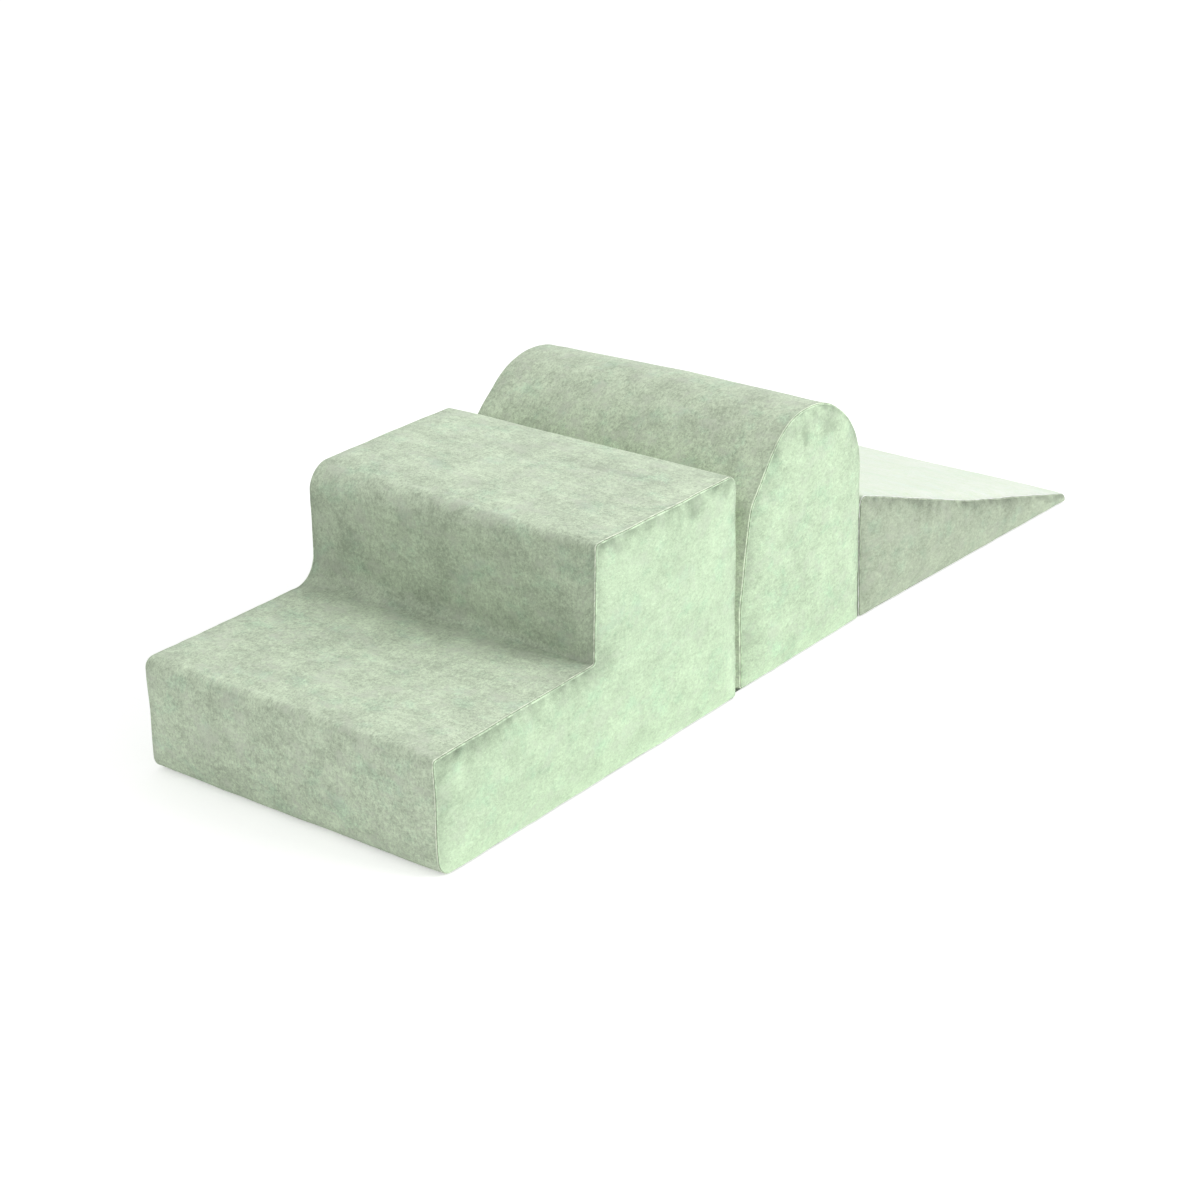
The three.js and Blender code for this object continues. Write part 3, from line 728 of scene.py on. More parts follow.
marks = {
    "step_cover_side_near": [
        side_mark((640, 378), (20, 13), -0.95),
        side_mark((612, 372), (7, 20), 0.30),
        side_mark((395, 395), (24, 14), -0.40),
        side_mark((404, 196), (22, 20), -0.45),
        side_mark((20, 120), (14, 12), -0.40),
        side_mark((16, 168), (12, 22), -0.45),
        side_mark((52, 150), (10, 20), 0.30),
        side_mark((74, 160), (9, 12), -0.35),
        side_mark((105, 182), (26, 9), -0.35),
        side_mark((738, 58), (18, 52), 0.35),
        side_mark((560, 300), (70, 16), -0.08),
        side_mark((250, 90), (60, 14), -0.07),
    ],
    "arch_cover_side_near": [
        side_mark((200, 404), (9, 22), -0.80),
        side_mark((276, 398), (22, 18), -0.85),
        side_mark((238, 412), (8, 16), 0.35),
        side_mark((350, 150), (16, 60), 0.22),
        side_mark((42, 90), (18, 15), -0.25),
        side_mark((180, 240), (50, 12), -0.07),
    ],
    "step_cover_wrap": [
        Mark((386, 216, 314), (30, 25, 40), -0.20),
        Mark((0, 225, 93), (30, 26, 22), -0.10),
        Mark((0, 139, 140), (30, 60, 26), -0.08),
        Mark((0, 16, 105), (30, 24, 18), -0.08),
        Mark((0, -120, 60), (30, 46, 14), 0.07),
        Mark((648, -90, 400), (12, 44, 30), -0.26),
        Mark((652, -180, 400), (11, 50, 30), -0.22),
        Mark((520, 60, 400), (40, 26, 30), 0.12),
        Mark((180, 40, 198), (52, 24, 20), -0.10),
        Mark((110, -170, 198), (24, 60, 20), 0.12),
    ],
    "arch_cover_wrap": [
        Mark((60, 150, 380), (30, 20, 40), -0.18),
        Mark((84, 105, 402), (30, 18, 30), -0.16),
        Mark((56, -30, 372), (30, 40, 14), -0.14),
        Mark((100, -140, 415), (30, 36, 16), 0.14),
        Mark((200, 20, 450), (46, 22, 30), 0.10),
    ],
    "ramp_cover_wrap": [
        Mark((220, 60, 165), (60, 26, 30), -0.10),
        Mark((420, -120, 95), (70, 22, 30), -0.10),
    ],
}
mark_ragged_wave, mark_ragged = 26 * mm, 1.4
mark_end = 6


def marks_and_painted_foot_light(node, at):
    """How much paler or darker the marks make the pile of a piece, ragged at their edges. The foot of
    a side is a little paler, with painted light."""
    out = np.zeros(len(at))
    if "_side_" in node:
        # Painted light: the foot of a side is paler towards the floor
        out += foot_painted_light * np.exp(-np.maximum(at[:, 2], 0) / foot_painted_light_reach)
    for m in marks.get(node, []):
        away = (((at - np.multiply(m.place, mm)) / np.multiply(m.reach, mm)) ** 2).sum(axis=1)
        for i in np.nonzero(away < mark_end)[0]:
            ragged = 1 + mark_ragged * noise.noise(Vector(at[i]) / mark_ragged_wave)
            out[i] += m.strength * ragged * math.exp(-away[i])
    return out


# Shader arithmetic


class Wire:
    """A shader socket that takes part in arithmetic: each operation adds one Math node."""

    def __init__(self, finish, socket):
        self.finish = finish
        self.socket = socket

    def joined(self, operation, first, second):
        return self.finish.node("ShaderNodeMath", {"operation": operation}, {0: first, 1: second})

    def __add__(self, other):
        return self.joined("ADD", self, other)

    def __radd__(self, other):
        return self.joined("ADD", other, self)

    def __sub__(self, other):
        return self.joined("SUBTRACT", self, other)

    def __rsub__(self, other):
        return self.joined("SUBTRACT", other, self)

    def __mul__(self, other):
        return self.joined("MULTIPLY", self, other)

    def __rmul__(self, other):
        return self.joined("MULTIPLY", other, self)


def add_node(tree, kind, settings=None, inputs=None):
    """A node of a tree with its settings, which are set first, and the values or links of its sockets."""
    made = tree.nodes.new(kind)
    for key, value in (settings or {}).items():
        setattr(made, key, value)
    for key, value in (inputs or {}).items():
        given = value.socket if isinstance(value, Wire) else value
        if isinstance(given, bpy.types.NodeSocket):
            tree.links.new(given, made.inputs[key])
        else:
            made.inputs[key].default_value = given
    return made


# Lumps of noise: their size in metres, how many finer kinds lie in them, how strong those are, and how
# much they curl
Lumps = namedtuple("Lumps", "size detail roughness swirl", defaults=(0.0,))

# The wave node has this many units of length in one wave at scale 1
wave_node_pitch = math.pi / 10


class Finish:
    """A material and the nodes that make it."""

    def __init__(self, name):
        self.material = bpy.data.materials.new(name)
        self.material.use_nodes = True
        self.tree = self.material.node_tree
        self.tree.nodes.clear()

    def node(self, kind, settings=None, inputs=None, output=0):
        """Adds a node and gives one of its outputs."""
        made = add_node(self.tree, kind, settings, inputs)
        return made if output is None else Wire(self, made.outputs[output])

    def attribute(self, name):
        return self.node("ShaderNodeAttribute", {"attribute_name": name}, output="Fac")

    def place(self):
        """Place on the piece, in metres."""
        return self.node("ShaderNodeTexCoord", output="Object")

    def mapped(self, where, scale, shift=(0, 0, 0), turn=(0, 0, 0)):
        return self.node("ShaderNodeMapping", inputs={
            "Vector": where, "Scale": scale, "Location": shift, "Rotation": turn,
        })

    def grain(self, where, lumps, stretch=(1, 1, 1), shift=(0, 0, 0)):
        """Noise about zero in lumps, which can be stretched and shifted."""
        where = self.mapped(where, [1 / (lumps.size * s) for s in stretch], shift)
        return self.node("ShaderNodeTexNoise", inputs={
            "Vector": where, "Scale": 1.0, "Detail": lumps.detail, "Roughness": lumps.roughness,
            "Distortion": lumps.swirl,
        }, output="Fac") - 0.5

    def cells(self, where, size):
        """Distance from the middle of cells whose size is in metres."""
        inputs = {"Vector": self.mapped(where, [1 / size] * 3), "Scale": 1.0}
        return self.node("ShaderNodeTexVoronoi", inputs=inputs, output="Distance")

    def ribs(self, where, pitch, turn=0.0):
        """Waves from 0 to 1 across a direction turned about Z."""
        where = self.mapped(where, [1 / pitch] * 3, turn=(0, 0, turn))
        return self.node("ShaderNodeTexWave", {"wave_profile": "SIN"}, {
            "Vector": where, "Scale": 1 / wave_node_pitch, "Distortion": 0.0,
        }, output="Fac")

    def rise(self, value, start, end):
        """0 up to the start and 1 from the end, smooth between."""
        return self.node("ShaderNodeMapRange", {"interpolation_type": "SMOOTHSTEP"}, {
            "Value": value, "From Min": start, "From Max": end, "To Min": 0.0, "To Max": 1.0,
        })

    def blend(self, share, first, second, way="MIX"):
        """The first colour, turning into the second as the share goes from 0 to 1."""
        settings = {"data_type": "RGBA", "blend_type": way}
        return self.node("ShaderNodeMix", settings, {0: share, 6: first, 7: second}, 2)

    def bump(self, height, depth, strength=1.0):
        return self.node("ShaderNodeBump", inputs={
            "Height": height, "Distance": depth, "Strength": strength,
        })

    def surface(self, **inputs):
        """Ends the material in a principled surface with these sockets."""
        names = {key.replace("_", " ").title().replace("Ior", "IOR"): v for key, v in inputs.items()}
        shader = self.node("ShaderNodeBsdfPrincipled", inputs=names)
        self.node("ShaderNodeOutputMaterial", inputs={"Surface": shader}, output=None)
        return self.material


def colour(red, green, blue):
    """A linear colour with full alpha."""
    return (red, green, blue, 1.0)


def shaded(tone, base):
    return colour(*(min(1.0, tone * part) for part in base))


# How bright each part of a colour looks, and a grey that is a little warm
brightness = (0.2126, 0.7152, 0.0722)
warm_grey = (1.02, 0.99, 0.95)


def greyer(share, base):
    """The base colour, part of the way to a warm grey as light as it is."""
    light = sum(b * part for b, part in zip(base, brightness))
    return tuple(b + share * (light * w - b) for b, w in zip(base, warm_grey))


# Velvet

# Its kinds of lumps, how much light or colour each changes, and the painted highlight along a seam
pile_lumps, pile_share, pile_height = Lumps(75 * mm, 6, 1.0), 3.3, 3
stroke_lumps, stroke_share, stroke_height = Lumps(16 * mm, 3, 0.9, 2.5), 1.2, 0.8
fibre_lumps, fibre_share, fibre_height = Lumps(4.8 * mm, 2, 0.9), 1.5, 0.8
fibre_stretch = (1.5, 1, 1)
crushed_lumps, crushed_share, crushed_rise = Lumps(30 * mm, 4, 0.9, 1.5), 0.26, (0.08, 0.20)
marks_and_painted_light_share = 1.2
dark_pile, pale_pile = 0.72, 1.27
grey_lumps, grey_share, grey_rise = Lumps(48 * mm, 4, 0.75), 0.55, (-0.02, 0.16)
grey_light, grey_most = 0.98, 0.4
cool_lumps, cool_share, cool_rise = Lumps(60 * mm, 4, 0.75), 0.5, (0.0, 0.18)
seam_highlight_lumps, seam_highlight_ragged_share, seam_highlight_rise = Lumps(14 * mm, 2, 0.6), 0.7, (-0.10, 0.12)
seam_highlight_start, seam_highlight_end = 1.0 * mm, 2.2 * mm
seam_highlight_tone, seam_highlight_most = 1.45, 0.8
velvet_bump, velvet_roughness, velvet_sheen_roughness = 0.8 * mm, 0.9, 0.45
black, cool_tint, sheen_tint = colour(0, 0, 0), colour(0.86, 1.0, 0.97), colour(0.92, 1.0, 0.90)


def velvet(name, base, seed, stretch=(1, 1, 1), depth=1.0, sheen=0.3):
    """Brushed velvet. Its pile lies in lumps of every size, from a palm down to a few fibres, each as
    strong as the next. Patches of it are greyer or cooler, and small crushed marks are darker.
    Painted shade darkens it by the shade attribute, and a painted highlight runs along each seam."""
    f = Finish(name)
    nap = f.node("ShaderNodeUVMap", {"uv_map": "nap"})
    seam, shade, brush = (f.attribute(label) for label in ("seam", "shade", "brush"))
    shift = (1.7 * seed, 2.3 * seed, 0)
    pile = f.grain(nap, pile_lumps, stretch, shift)
    strokes = f.grain(nap, stroke_lumps, stretch, shift)
    fibre = f.grain(nap, fibre_lumps, fibre_stretch, shift)
    crushed = f.rise(f.grain(nap, crushed_lumps, stretch, shift), *crushed_rise)
    share = 0.5 + pile * (pile_share * depth) + strokes * (stroke_share * depth)
    # The marks attribute also carries the painted light at the foot of a side
    share = share + fibre * (fibre_share * depth) - crushed * (crushed_share * depth) + brush * marks_and_painted_light_share
    tone = f.blend(share, shaded(dark_pile, base), shaded(pale_pile, base))
    grey = f.rise(f.grain(nap, grey_lumps, stretch, (3, 5, seed)), *grey_rise) * grey_share
    tone = f.blend(grey * depth, tone, shaded(grey_light, greyer(grey_most, base)))
    cool = f.rise(f.grain(nap, cool_lumps, stretch, (7, 1, seed)), *cool_rise) * cool_share
    tone = f.blend(cool, tone, cool_tint, "MULTIPLY")
    # Painted shade: the shade attribute darkens the colour towards black
    tone = f.blend(shade, tone, black)
    # Painted highlight: a pale, ragged line along each seam, where the lip of the cloth catches light
    ragged = f.rise(f.grain(nap, seam_highlight_lumps, shift=shift), *seam_highlight_rise) * seam_highlight_ragged_share + (1 - seam_highlight_ragged_share)
    edge = (1 - f.rise(seam, seam_highlight_start, seam_highlight_end)) * ragged
    tone = f.blend(edge * seam_highlight_most, tone, shaded(seam_highlight_tone, base))
    height = pile * pile_height + strokes * stroke_height + fibre * fibre_height
    return f.surface(
        base_color=tone, roughness=velvet_roughness + pile * 0.3, specular_ior_level=0.15,
        sheen_weight=sheen, sheen_roughness=velvet_sheen_roughness, sheen_tint=sheen_tint,
        normal=f.bump(height, velvet_bump, 0.6),
    )


wrap_stretch, side_stretch = (1, 1.45, 1), (1.2, 1, 1)
wrap_velvet = {
    "step": velvet("step_wrap_velvet", (0.635, 0.746, 0.560), 1, wrap_stretch),
    "arch": velvet("arch_wrap_velvet", (0.600, 0.700, 0.525), 2, (1, 1.15, 1), 1.05),
    # The ramp's wrap is a paler copy of the velvet with painted light, which shows on its slope
    "ramp": velvet("ramp_wrap_velvet", (0.975, 1.18, 0.800), 3, wrap_stretch, 0.60, 0.8),
}
side_velvet = {
    "step": velvet("step_side_velvet", (0.545, 0.690, 0.487), 4, side_stretch, 0.62),
    "arch": velvet("arch_side_velvet", (0.530, 0.668, 0.472), 5, side_stretch, 0.72),
    "ramp": velvet("ramp_side_velvet", (0.405, 0.470, 0.352), 6, side_stretch, 0.85),
}

# Foam, cloth, tapes and fasteners

foam_fresh, foam_aged = colour(0.82, 0.77, 0.62), colour(0.76, 0.68, 0.48)
foam_pore, foam_void = colour(0.55, 0.48, 0.33), colour(0.42, 0.35, 0.22)
grip_dark, grip_pale = colour(0.10, 0.125, 0.095), colour(0.21, 0.25, 0.19)
grip_dust = colour(0.34, 0.35, 0.31)
tape_dark, tape_pale = colour(0.26, 0.33, 0.24), colour(0.44, 0.53, 0.41)
nickel_plain, nickel_worn = colour(0.50, 0.49, 0.46), colour(0.66, 0.65, 0.62)


def foam_finish():
    """Open-cell foam with a skin of fine pores, some larger voids and a slightly yellowed tint."""
    f = Finish("open_cell_foam")
    where = f.place()
    pores = f.cells(where, 2.2 * mm)
    voids = f.rise(f.cells(where, 11 * mm), 0.0, 0.16)
    aged = f.rise(f.grain(where, Lumps(120 * mm, 3, 0.6)), -0.1, 0.2)
    tone = f.blend(aged, foam_fresh, foam_aged)
    tone = f.blend((1 - pores) * 0.35, tone, foam_pore)
    tone = f.blend((1 - voids) * 0.5, tone, foam_void)
    return f.surface(
        base_color=tone, roughness=0.95, specular_ior_level=0.1,
        normal=f.bump(pores + voids * 2, 0.6 * mm, 0.7),
    )


def weave_height(f, where, pitch, turn=0.0):
    """Height of a plain weave: two sets of threads, each over and under the other."""
    return f.ribs(where, pitch, turn) * f.ribs(where, pitch, turn + math.pi / 2)


def grip_cloth_finish():
    """Coarse woven cloth of the underside, in a grey green, dusty in patches."""
    f = Finish("grip_cloth")
    where = f.place()
    weave = weave_height(f, where, 1.6 * mm)
    fibre = f.grain(where, Lumps(1 * mm, 2, 0.6))
    dust = f.rise(f.grain(where, Lumps(50 * mm, 4, 0.65)), 0.0, 0.2)
    tone = f.blend(weave + fibre * 0.6, grip_dark, grip_pale)
    tone = f.blend(dust * 0.3, tone, grip_dust)
    return f.surface(base_color=tone, roughness=0.88, normal=f.bump(weave + fibre * 0.5, 0.4 * mm, 0.8))


def tape_finish():
    """Zip tape in a slanting weave with a little lint."""
    f = Finish("zip_tape_weave")
    where = f.place()
    weave = f.ribs(where, 1.3 * mm, math.radians(33))
    fibre = f.grain(where, Lumps(0.8 * mm, 2, 0.6))
    tone = f.blend(weave + fibre * 0.7, tape_dark, tape_pale)
    return f.surface(base_color=tone, roughness=0.82, normal=f.bump(weave + fibre * 0.4, 0.3 * mm, 0.8))


def moulded_finish(name, base, roughness, wave=20 * mm):
    """Moulded resin with faint flow marks and small scuffs."""
    f = Finish(name)
    where = f.place()
    flow = f.grain(where, Lumps(wave, 3, 0.5), (1, 1, 3))
    scuffs = f.rise(f.grain(where, Lumps(1.5 * mm, 3, 0.8), (1, 4, 1)), 0.10, 0.22)
    tone = f.blend(0.5 + flow, shaded(0.86, base), shaded(1.12, base))
    tone = f.blend(scuffs * 0.35, tone, shaded(1.35, base))
    return f.surface(
        base_color=tone, roughness=roughness + scuffs * 0.25,
        normal=f.bump(flow - scuffs * 0.3, 0.1 * mm, 0.4),
    )


def nickel_finish():
    """Brushed nickel of the slider and its pull, worn a little brighter in places."""
    f = Finish("brushed_nickel")
    where = f.place()
    brushing = f.grain(where, Lumps(0.6 * mm, 2, 0.6), (1, 16, 1))
    worn = f.rise(f.grain(where, Lumps(4 * mm, 3, 0.6)), 0.0, 0.2)
    tone = f.blend(worn, nickel_plain, nickel_worn)
    return f.surface(
        base_color=tone, metallic=1.0, roughness=0.32 + brushing * 0.5 - worn * 0.08,
        normal=f.bump(brushing, 0.05 * mm, 0.5),
    )


def backing_finish(name, base):
    """Woven backing of a hook or loop patch."""
    f = Finish(name)
    where = f.mapped(f.place(), (1, 1, 1), turn=(0, math.pi / 2, 0))
    weave = weave_height(f, where, 1.1 * mm)
    fibre = f.grain(where, Lumps(0.9 * mm, 2, 0.6))
    tone = f.blend(weave + fibre * 0.8, shaded(0.65, base), shaded(1.15, base))
    return f.surface(base_color=tone, roughness=0.85, normal=f.bump(weave + fibre * 0.5, 0.3 * mm, 0.8))


def filament_finish(name, base, roughness):
    """Short fibres, each lot a little different in tone."""
    f = Finish(name)
    lots = f.grain(f.place(), Lumps(6 * mm, 3, 0.7))
    tone = f.blend(0.5 + lots * 1.6, shaded(0.75, base), shaded(1.2, base))
    return f.surface(base_color=tone, roughness=roughness + lots * 0.2)


foam = foam_finish()
grip_cloth = grip_cloth_finish()
grip_rubber = moulded_finish("grip_dots", (0.060, 0.068, 0.058), 0.62, 8 * mm)
tape_weave = tape_finish()
thread = filament_finish("sewing_thread", (0.40, 0.48, 0.36), 0.6)
loop_backing = backing_finish("loop_backing", (0.36, 0.44, 0.33))
hook_backing = backing_finish("hook_backing", (0.30, 0.37, 0.27))
loop_pile = filament_finish("loop_pile", (0.46, 0.55, 0.42), 0.75)
hook_pile = filament_finish("hook_pile", (0.38, 0.46, 0.34), 0.38)

# Geometry node patterns


class Pattern:
    """A geometry node tree with named inputs for its sizes, which is run on a mesh of places."""

    def __init__(self, name, sizes):
        self.tree = bpy.data.node_groups.new(name, "GeometryNodeTree")
        self.sizes = sizes
        kinds = {int: "NodeSocketInt", float: "NodeSocketFloat"}
        self.tree.interface.new_socket("Places", in_out="INPUT", socket_type="NodeSocketGeometry")
        for label, value in sizes.items():
            self.tree.interface.new_socket(label, in_out="INPUT", socket_type=kinds[type(value)])
        self.tree.interface.new_socket("Material", in_out="INPUT", socket_type="NodeSocketMaterial")
        self.tree.interface.new_socket("Result", in_out="OUTPUT", socket_type="NodeSocketGeometry")
        self.entry = self.tree.nodes.new("NodeGroupInput")

    def given(self, label):
        return self.entry.outputs[label]

    def node(self, kind, settings=None, inputs=None, output=0):
        return add_node(self.tree, kind, settings, inputs).outputs[output]

    def times(self, first, second):
        return self.node("ShaderNodeMath", {"operation": "MULTIPLY"}, {0: first, 1: second})

    def chance(self, low, high):
        """A number for each place, by chance between two others, from the pattern's seed."""
        inputs = {2: low, 3: high, "Seed": self.given("Seed")}
        return self.node("FunctionNodeRandomValue", {"data_type": "FLOAT"}, inputs, 1)

    def vector(self, x=0.0, y=0.0, z=0.0):
        return self.node("ShaderNodeCombineXYZ", inputs={0: x, 1: y, 2: z})

    def ended(self, copies):
        """Ends the tree: the copies are made real and given the material."""
        real = self.node("GeometryNodeRealizeInstances", inputs={0: copies})
        dressed = self.node("GeometryNodeSetMaterial", inputs={0: real, "Material": self.given("Material")})
        self.tree.links.new(dressed, self.tree.nodes.new("NodeGroupOutput").inputs[0])
        return self

    def run(self, name, points, edges, material, **sizes):
        """The pattern on these places as a plain mesh."""
        mesh = bpy.data.meshes.new(f"{name}_places")
        mesh.from_pydata([tuple(p) for p in points], edges, [])
        source = bpy.data.objects.new(f"{name}_places", mesh)
        bpy.context.scene.collection.objects.link(source)
        modifier = source.modifiers.new("pattern", "NODES")
        modifier.node_group = self.tree
        wanted = {**self.sizes, **sizes, "Material": material}
        for item in self.tree.interface.items_tree:
            if item.in_out == "INPUT" and item.name in wanted:
                modifier[item.identifier] = wanted[item.name]
        evaluated = source.evaluated_get(bpy.context.evaluated_depsgraph_get())
        result = bpy.data.meshes.new_from_object(evaluated)
        source.modifiers.remove(modifier)
        bpy.data.objects.remove(source)
        bpy.data.meshes.remove(mesh)
        result.name = name
        return result


def dot_pattern():
    """Low round dots, moulded onto cloth."""
    p = Pattern("grip_dots", {"Radius": 2.4 * mm, "Height": 0.7 * mm, "Sides": 8})
    ball = p.node("GeometryNodeMeshUVSphere", inputs={
        "Segments": p.given("Sides"), "Rings": 4, "Radius": 1.0,
    })
    size = p.vector(p.given("Radius"), p.given("Radius"), p.given("Height"))
    dots = p.node("GeometryNodeInstanceOnPoints", inputs={
        "Points": p.given("Places"), "Instance": ball, "Scale": size,
    })
    return p.ended(dots)


def stitch_pattern():
    """A row of stitches along a path."""
    p = Pattern("stitches", {"Pitch": 3.6 * mm, "Length": 2.8 * mm, "Thread": 0.5 * mm})
    path = p.node("GeometryNodeMeshToCurve", inputs={"Mesh": p.given("Places")})
    spaced = {"Curve": path, "Length": p.given("Pitch")}
    row = p.node("GeometryNodeResampleCurve", {"mode": "LENGTH"}, spaced)
    way = p.node("GeometryNodeInputTangent")
    turn = p.node("FunctionNodeAlignRotationToVector", {"axis": "X"}, {"Vector": way}, "Rotation")
    ball = p.node("GeometryNodeMeshUVSphere", inputs={"Segments": 6, "Rings": 4, "Radius": 0.5})
    size = p.vector(p.given("Length"), p.given("Thread"), p.given("Thread"))
    stitches = p.node("GeometryNodeInstanceOnPoints", inputs={
        "Points": row, "Instance": ball, "Rotation": turn, "Scale": size,
    })
    return p.ended(stitches)


filament_lean = 0.25
filament_growth = (0.8, 1.1)


def filament_pattern():
    """Bent filaments standing on a backing, each turned and sized a little differently."""
    p = Pattern("filaments", {
        "Radius": 0.5 * mm, "Thread": 0.1 * mm, "Sweep": math.radians(230), "Spin": math.tau, "Seed": 7,
    })
    start = math.radians(-60)
    arc = p.node("GeometryNodeCurveArc", {"mode": "RADIUS"}, {
        "Resolution": 7, "Radius": p.given("Radius"), "Start Angle": start, "Sweep Angle": p.given("Sweep"),
    }, "Curve")
    lift = p.vector(z=p.times(p.given("Radius"), -math.sin(start)))
    upright = p.node("GeometryNodeTransform", inputs={
        "Geometry": arc, "Translation": lift, "Rotation": (math.pi / 2, 0, 0),
    })
    section = p.node("GeometryNodeCurvePrimitiveCircle", {"mode": "RADIUS"}, {
        "Resolution": 3, "Radius": p.given("Thread"),
    }, "Curve")
    filament = p.node("GeometryNodeCurveToMesh", inputs={
        "Curve": upright, "Profile Curve": section, "Fill Caps": True,
    })
    spin = p.chance(0.0, p.given("Spin"))
    lean = p.chance(-filament_lean, filament_lean)
    grown = p.chance(*filament_growth)
    field = p.node("GeometryNodeInstanceOnPoints", inputs={
        "Points": p.given("Places"), "Instance": filament, "Rotation": p.vector(lean, 0.0, spin),
        "Scale": p.vector(grown, grown, grown),
    })
    return p.ended(field)


dots = dot_pattern()
stitches = stitch_pattern()
filaments = filament_pattern()

# Pieces

sharp_angle = math.radians(40)


def add_piece(name, mesh, material):
    """A piece whose object sits at the origin, with its place in its mesh."""
    mesh.shade_smooth()
    if not mesh.materials:
        mesh.materials.append(material)
    piece = bpy.data.objects.new(name, mesh)
    bpy.context.scene.collection.objects.link(piece)
    return piece


def thickened(piece, thickness, offset):
    wall = piece.modifiers.new("wall", "SOLIDIFY")
    wall.thickness = thickness
    wall.offset = offset


def carried(piece, block, node=None):
    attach(piece, block.body)
    if node:
        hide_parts(node)
    return piece


# Cover pieces. Points nearer to a seam than the sewn width are held by it

sewn_width = 0.2 * mm
most_shade = 0.9


def cover_piece(block, node, panel, swell, shade, material):
    """One panel of the cover: blown out, uneven, with a lip at its seams and marks in its pile, and with
    painted shade and painted light for its colour.
    The foam keeps the cloth from moving inward."""
    points = panel.points
    held = panel.seam < sewn_width
    if swell is not None:
        shift = smoothed(shift_at(swell, points), panel.faces, held, even_rounds)
        inward = np.maximum(0, -(shift * panel.normals).sum(axis=1))
        points = points + shift + panel.normals * inward[:, None]
    height = uneven(panel.points, panel.seam)
    height += np.array([lip(d) if d > 0 else 0 for d in panel.seam])
    points = points + panel.normals * height[:, None] + wandering(panel.points, panel.seam)
    points[:, 2] = np.maximum(points[:, 2], foot_lift / 2)
    pressed(block, points)
    mesh = mesh_of(f"{node}_cloth", points, panel.faces)
    corners = np.zeros(len(mesh.loops), int)
    mesh.loops.foreach_get("vertex_index", corners)
    mesh.uv_layers.new(name="nap").data.foreach_set("uv", panel.nap[corners].ravel())
    set_values(mesh, "seam", panel.seam)
    set_values(mesh, "shade", np.clip(shade, 0, most_shade))
    set_values(mesh, "brush", marks_and_painted_foot_light(node, panel.at))
    piece = add_piece(f"{node}_cloth", mesh, material)
    thickened(piece, cloth_thickness, -1)
    carried(piece, block, node)


def cover(block):
    swell = simulate(block)
    wrap = wrap_panel(block, seam_rows, fine_pitch)
    shade = wrap_shade(block, wrap)
    cover_piece(block, f"{block.name}_cover_wrap", wrap, swell, shade, wrap_velvet[block.name])
    for side, place in ((-1, "near"), (1, "far")):
        panel = side_panel(block, side, seam_rows, fine_pitch)
        shade = side_shade(block, panel)
        node = f"{block.name}_cover_side_{place}"
        cover_piece(block, node, panel, swell, shade, side_velvet[block.name])


# Foam core, with a shallow channel in its underside that gives way over the zip

foam_inset = 2.8 * mm
foam_pitch = 10 * mm
channel_reach = 20 * mm
channel_end_room = 3 * mm
channel_top = 11 * mm


def box_mesh(name, low, high):
    shape = bmesh.new()
    bmesh.ops.create_cube(shape, size=1)
    for v in shape.verts:
        v.co = Vector(low) + Vector((v.co[i] + 0.5) * (high[i] - low[i]) for i in range(3))
    mesh = bpy.data.meshes.new(name)
    shape.to_mesh(mesh)
    shape.free()
    return mesh


class Zip:
    """Where a block's zip is: its middle in X, its ends in Y, and the height of the tape."""

    def __init__(self, block):
        front_low, front_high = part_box(f"{block.name}_zip_tape_front")
        rear_low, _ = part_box(f"{block.name}_zip_tape_rear")
        self.x = (front_high.x + rear_low.x) / 2
        self.gap = (rear_low.x - front_high.x) / 2
        self.width = front_high.x - front_low.x
        self.low, self.high = front_low.y, front_high.y
        self.bottom, self.top = front_low.z, front_high.z


def foam_core(block):
    mesh = closed_skin(block, foam_pitch, foam_inset)
    core = bpy.data.objects.new(f"{block.name}_core", mesh)
    z = Zip(block)
    low = (z.x - channel_reach, z.low - channel_end_room, -channel_top)
    high = (z.x + channel_reach, z.high + channel_end_room, channel_top)
    cutter = bpy.data.objects.new(f"{block.name}_channel", box_mesh(f"{block.name}_channel", low, high))
    for o in (core, cutter):
        bpy.context.scene.collection.objects.link(o)
    cut = core.modifiers.new("channel", "BOOLEAN")
    cut.operation = "DIFFERENCE"
    cut.solver = "EXACT"
    cut.object = cutter
    evaluated = core.evaluated_get(bpy.context.evaluated_depsgraph_get())
    carved = bpy.data.meshes.new_from_object(evaluated)
    core.modifiers.remove(cut)
    for o in (core, cutter):
        bpy.data.objects.remove(o)
    piece = add_piece(f"{block.name}_foam_block", carved, foam)
    carved.set_sharp_from_angle(angle=sharp_angle)
    carried(piece, block, f"{block.name}_foam_core")


# Base cloths: they lie on their grip dots, and rise in a hem to the zip tape on both sides of the slot

base_cloth_thickness = 1.2 * mm
base_level = 1.3 * mm
hem_level = 5.5 * mm
hem_rows = [0, 1.5 * mm, 3 * mm, 4.5 * mm, 6 * mm, 8 * mm, 10 * mm, 12 * mm, 16 * mm]
hem_flat, hem_width = 4 * mm, 12 * mm
slot_half_width = 7 * mm
slot_end_room = 2 * mm
base_pitch = 9 * mm
base_half = half_width - foam_inset
base_seam = 0.4 * mm
least_row_gap = 1.2 * mm
base_ripple, base_ripple_wave = 0.12 * mm, 34 * mm
dot_pitch = 15 * mm
dot_margin = 5 * mm
stitch_row = 2.4 * mm
stitch_depth = 0.15 * mm


def eased(value):
    share = min(1, max(0, value))
    return share * share * (3 - 2 * share)


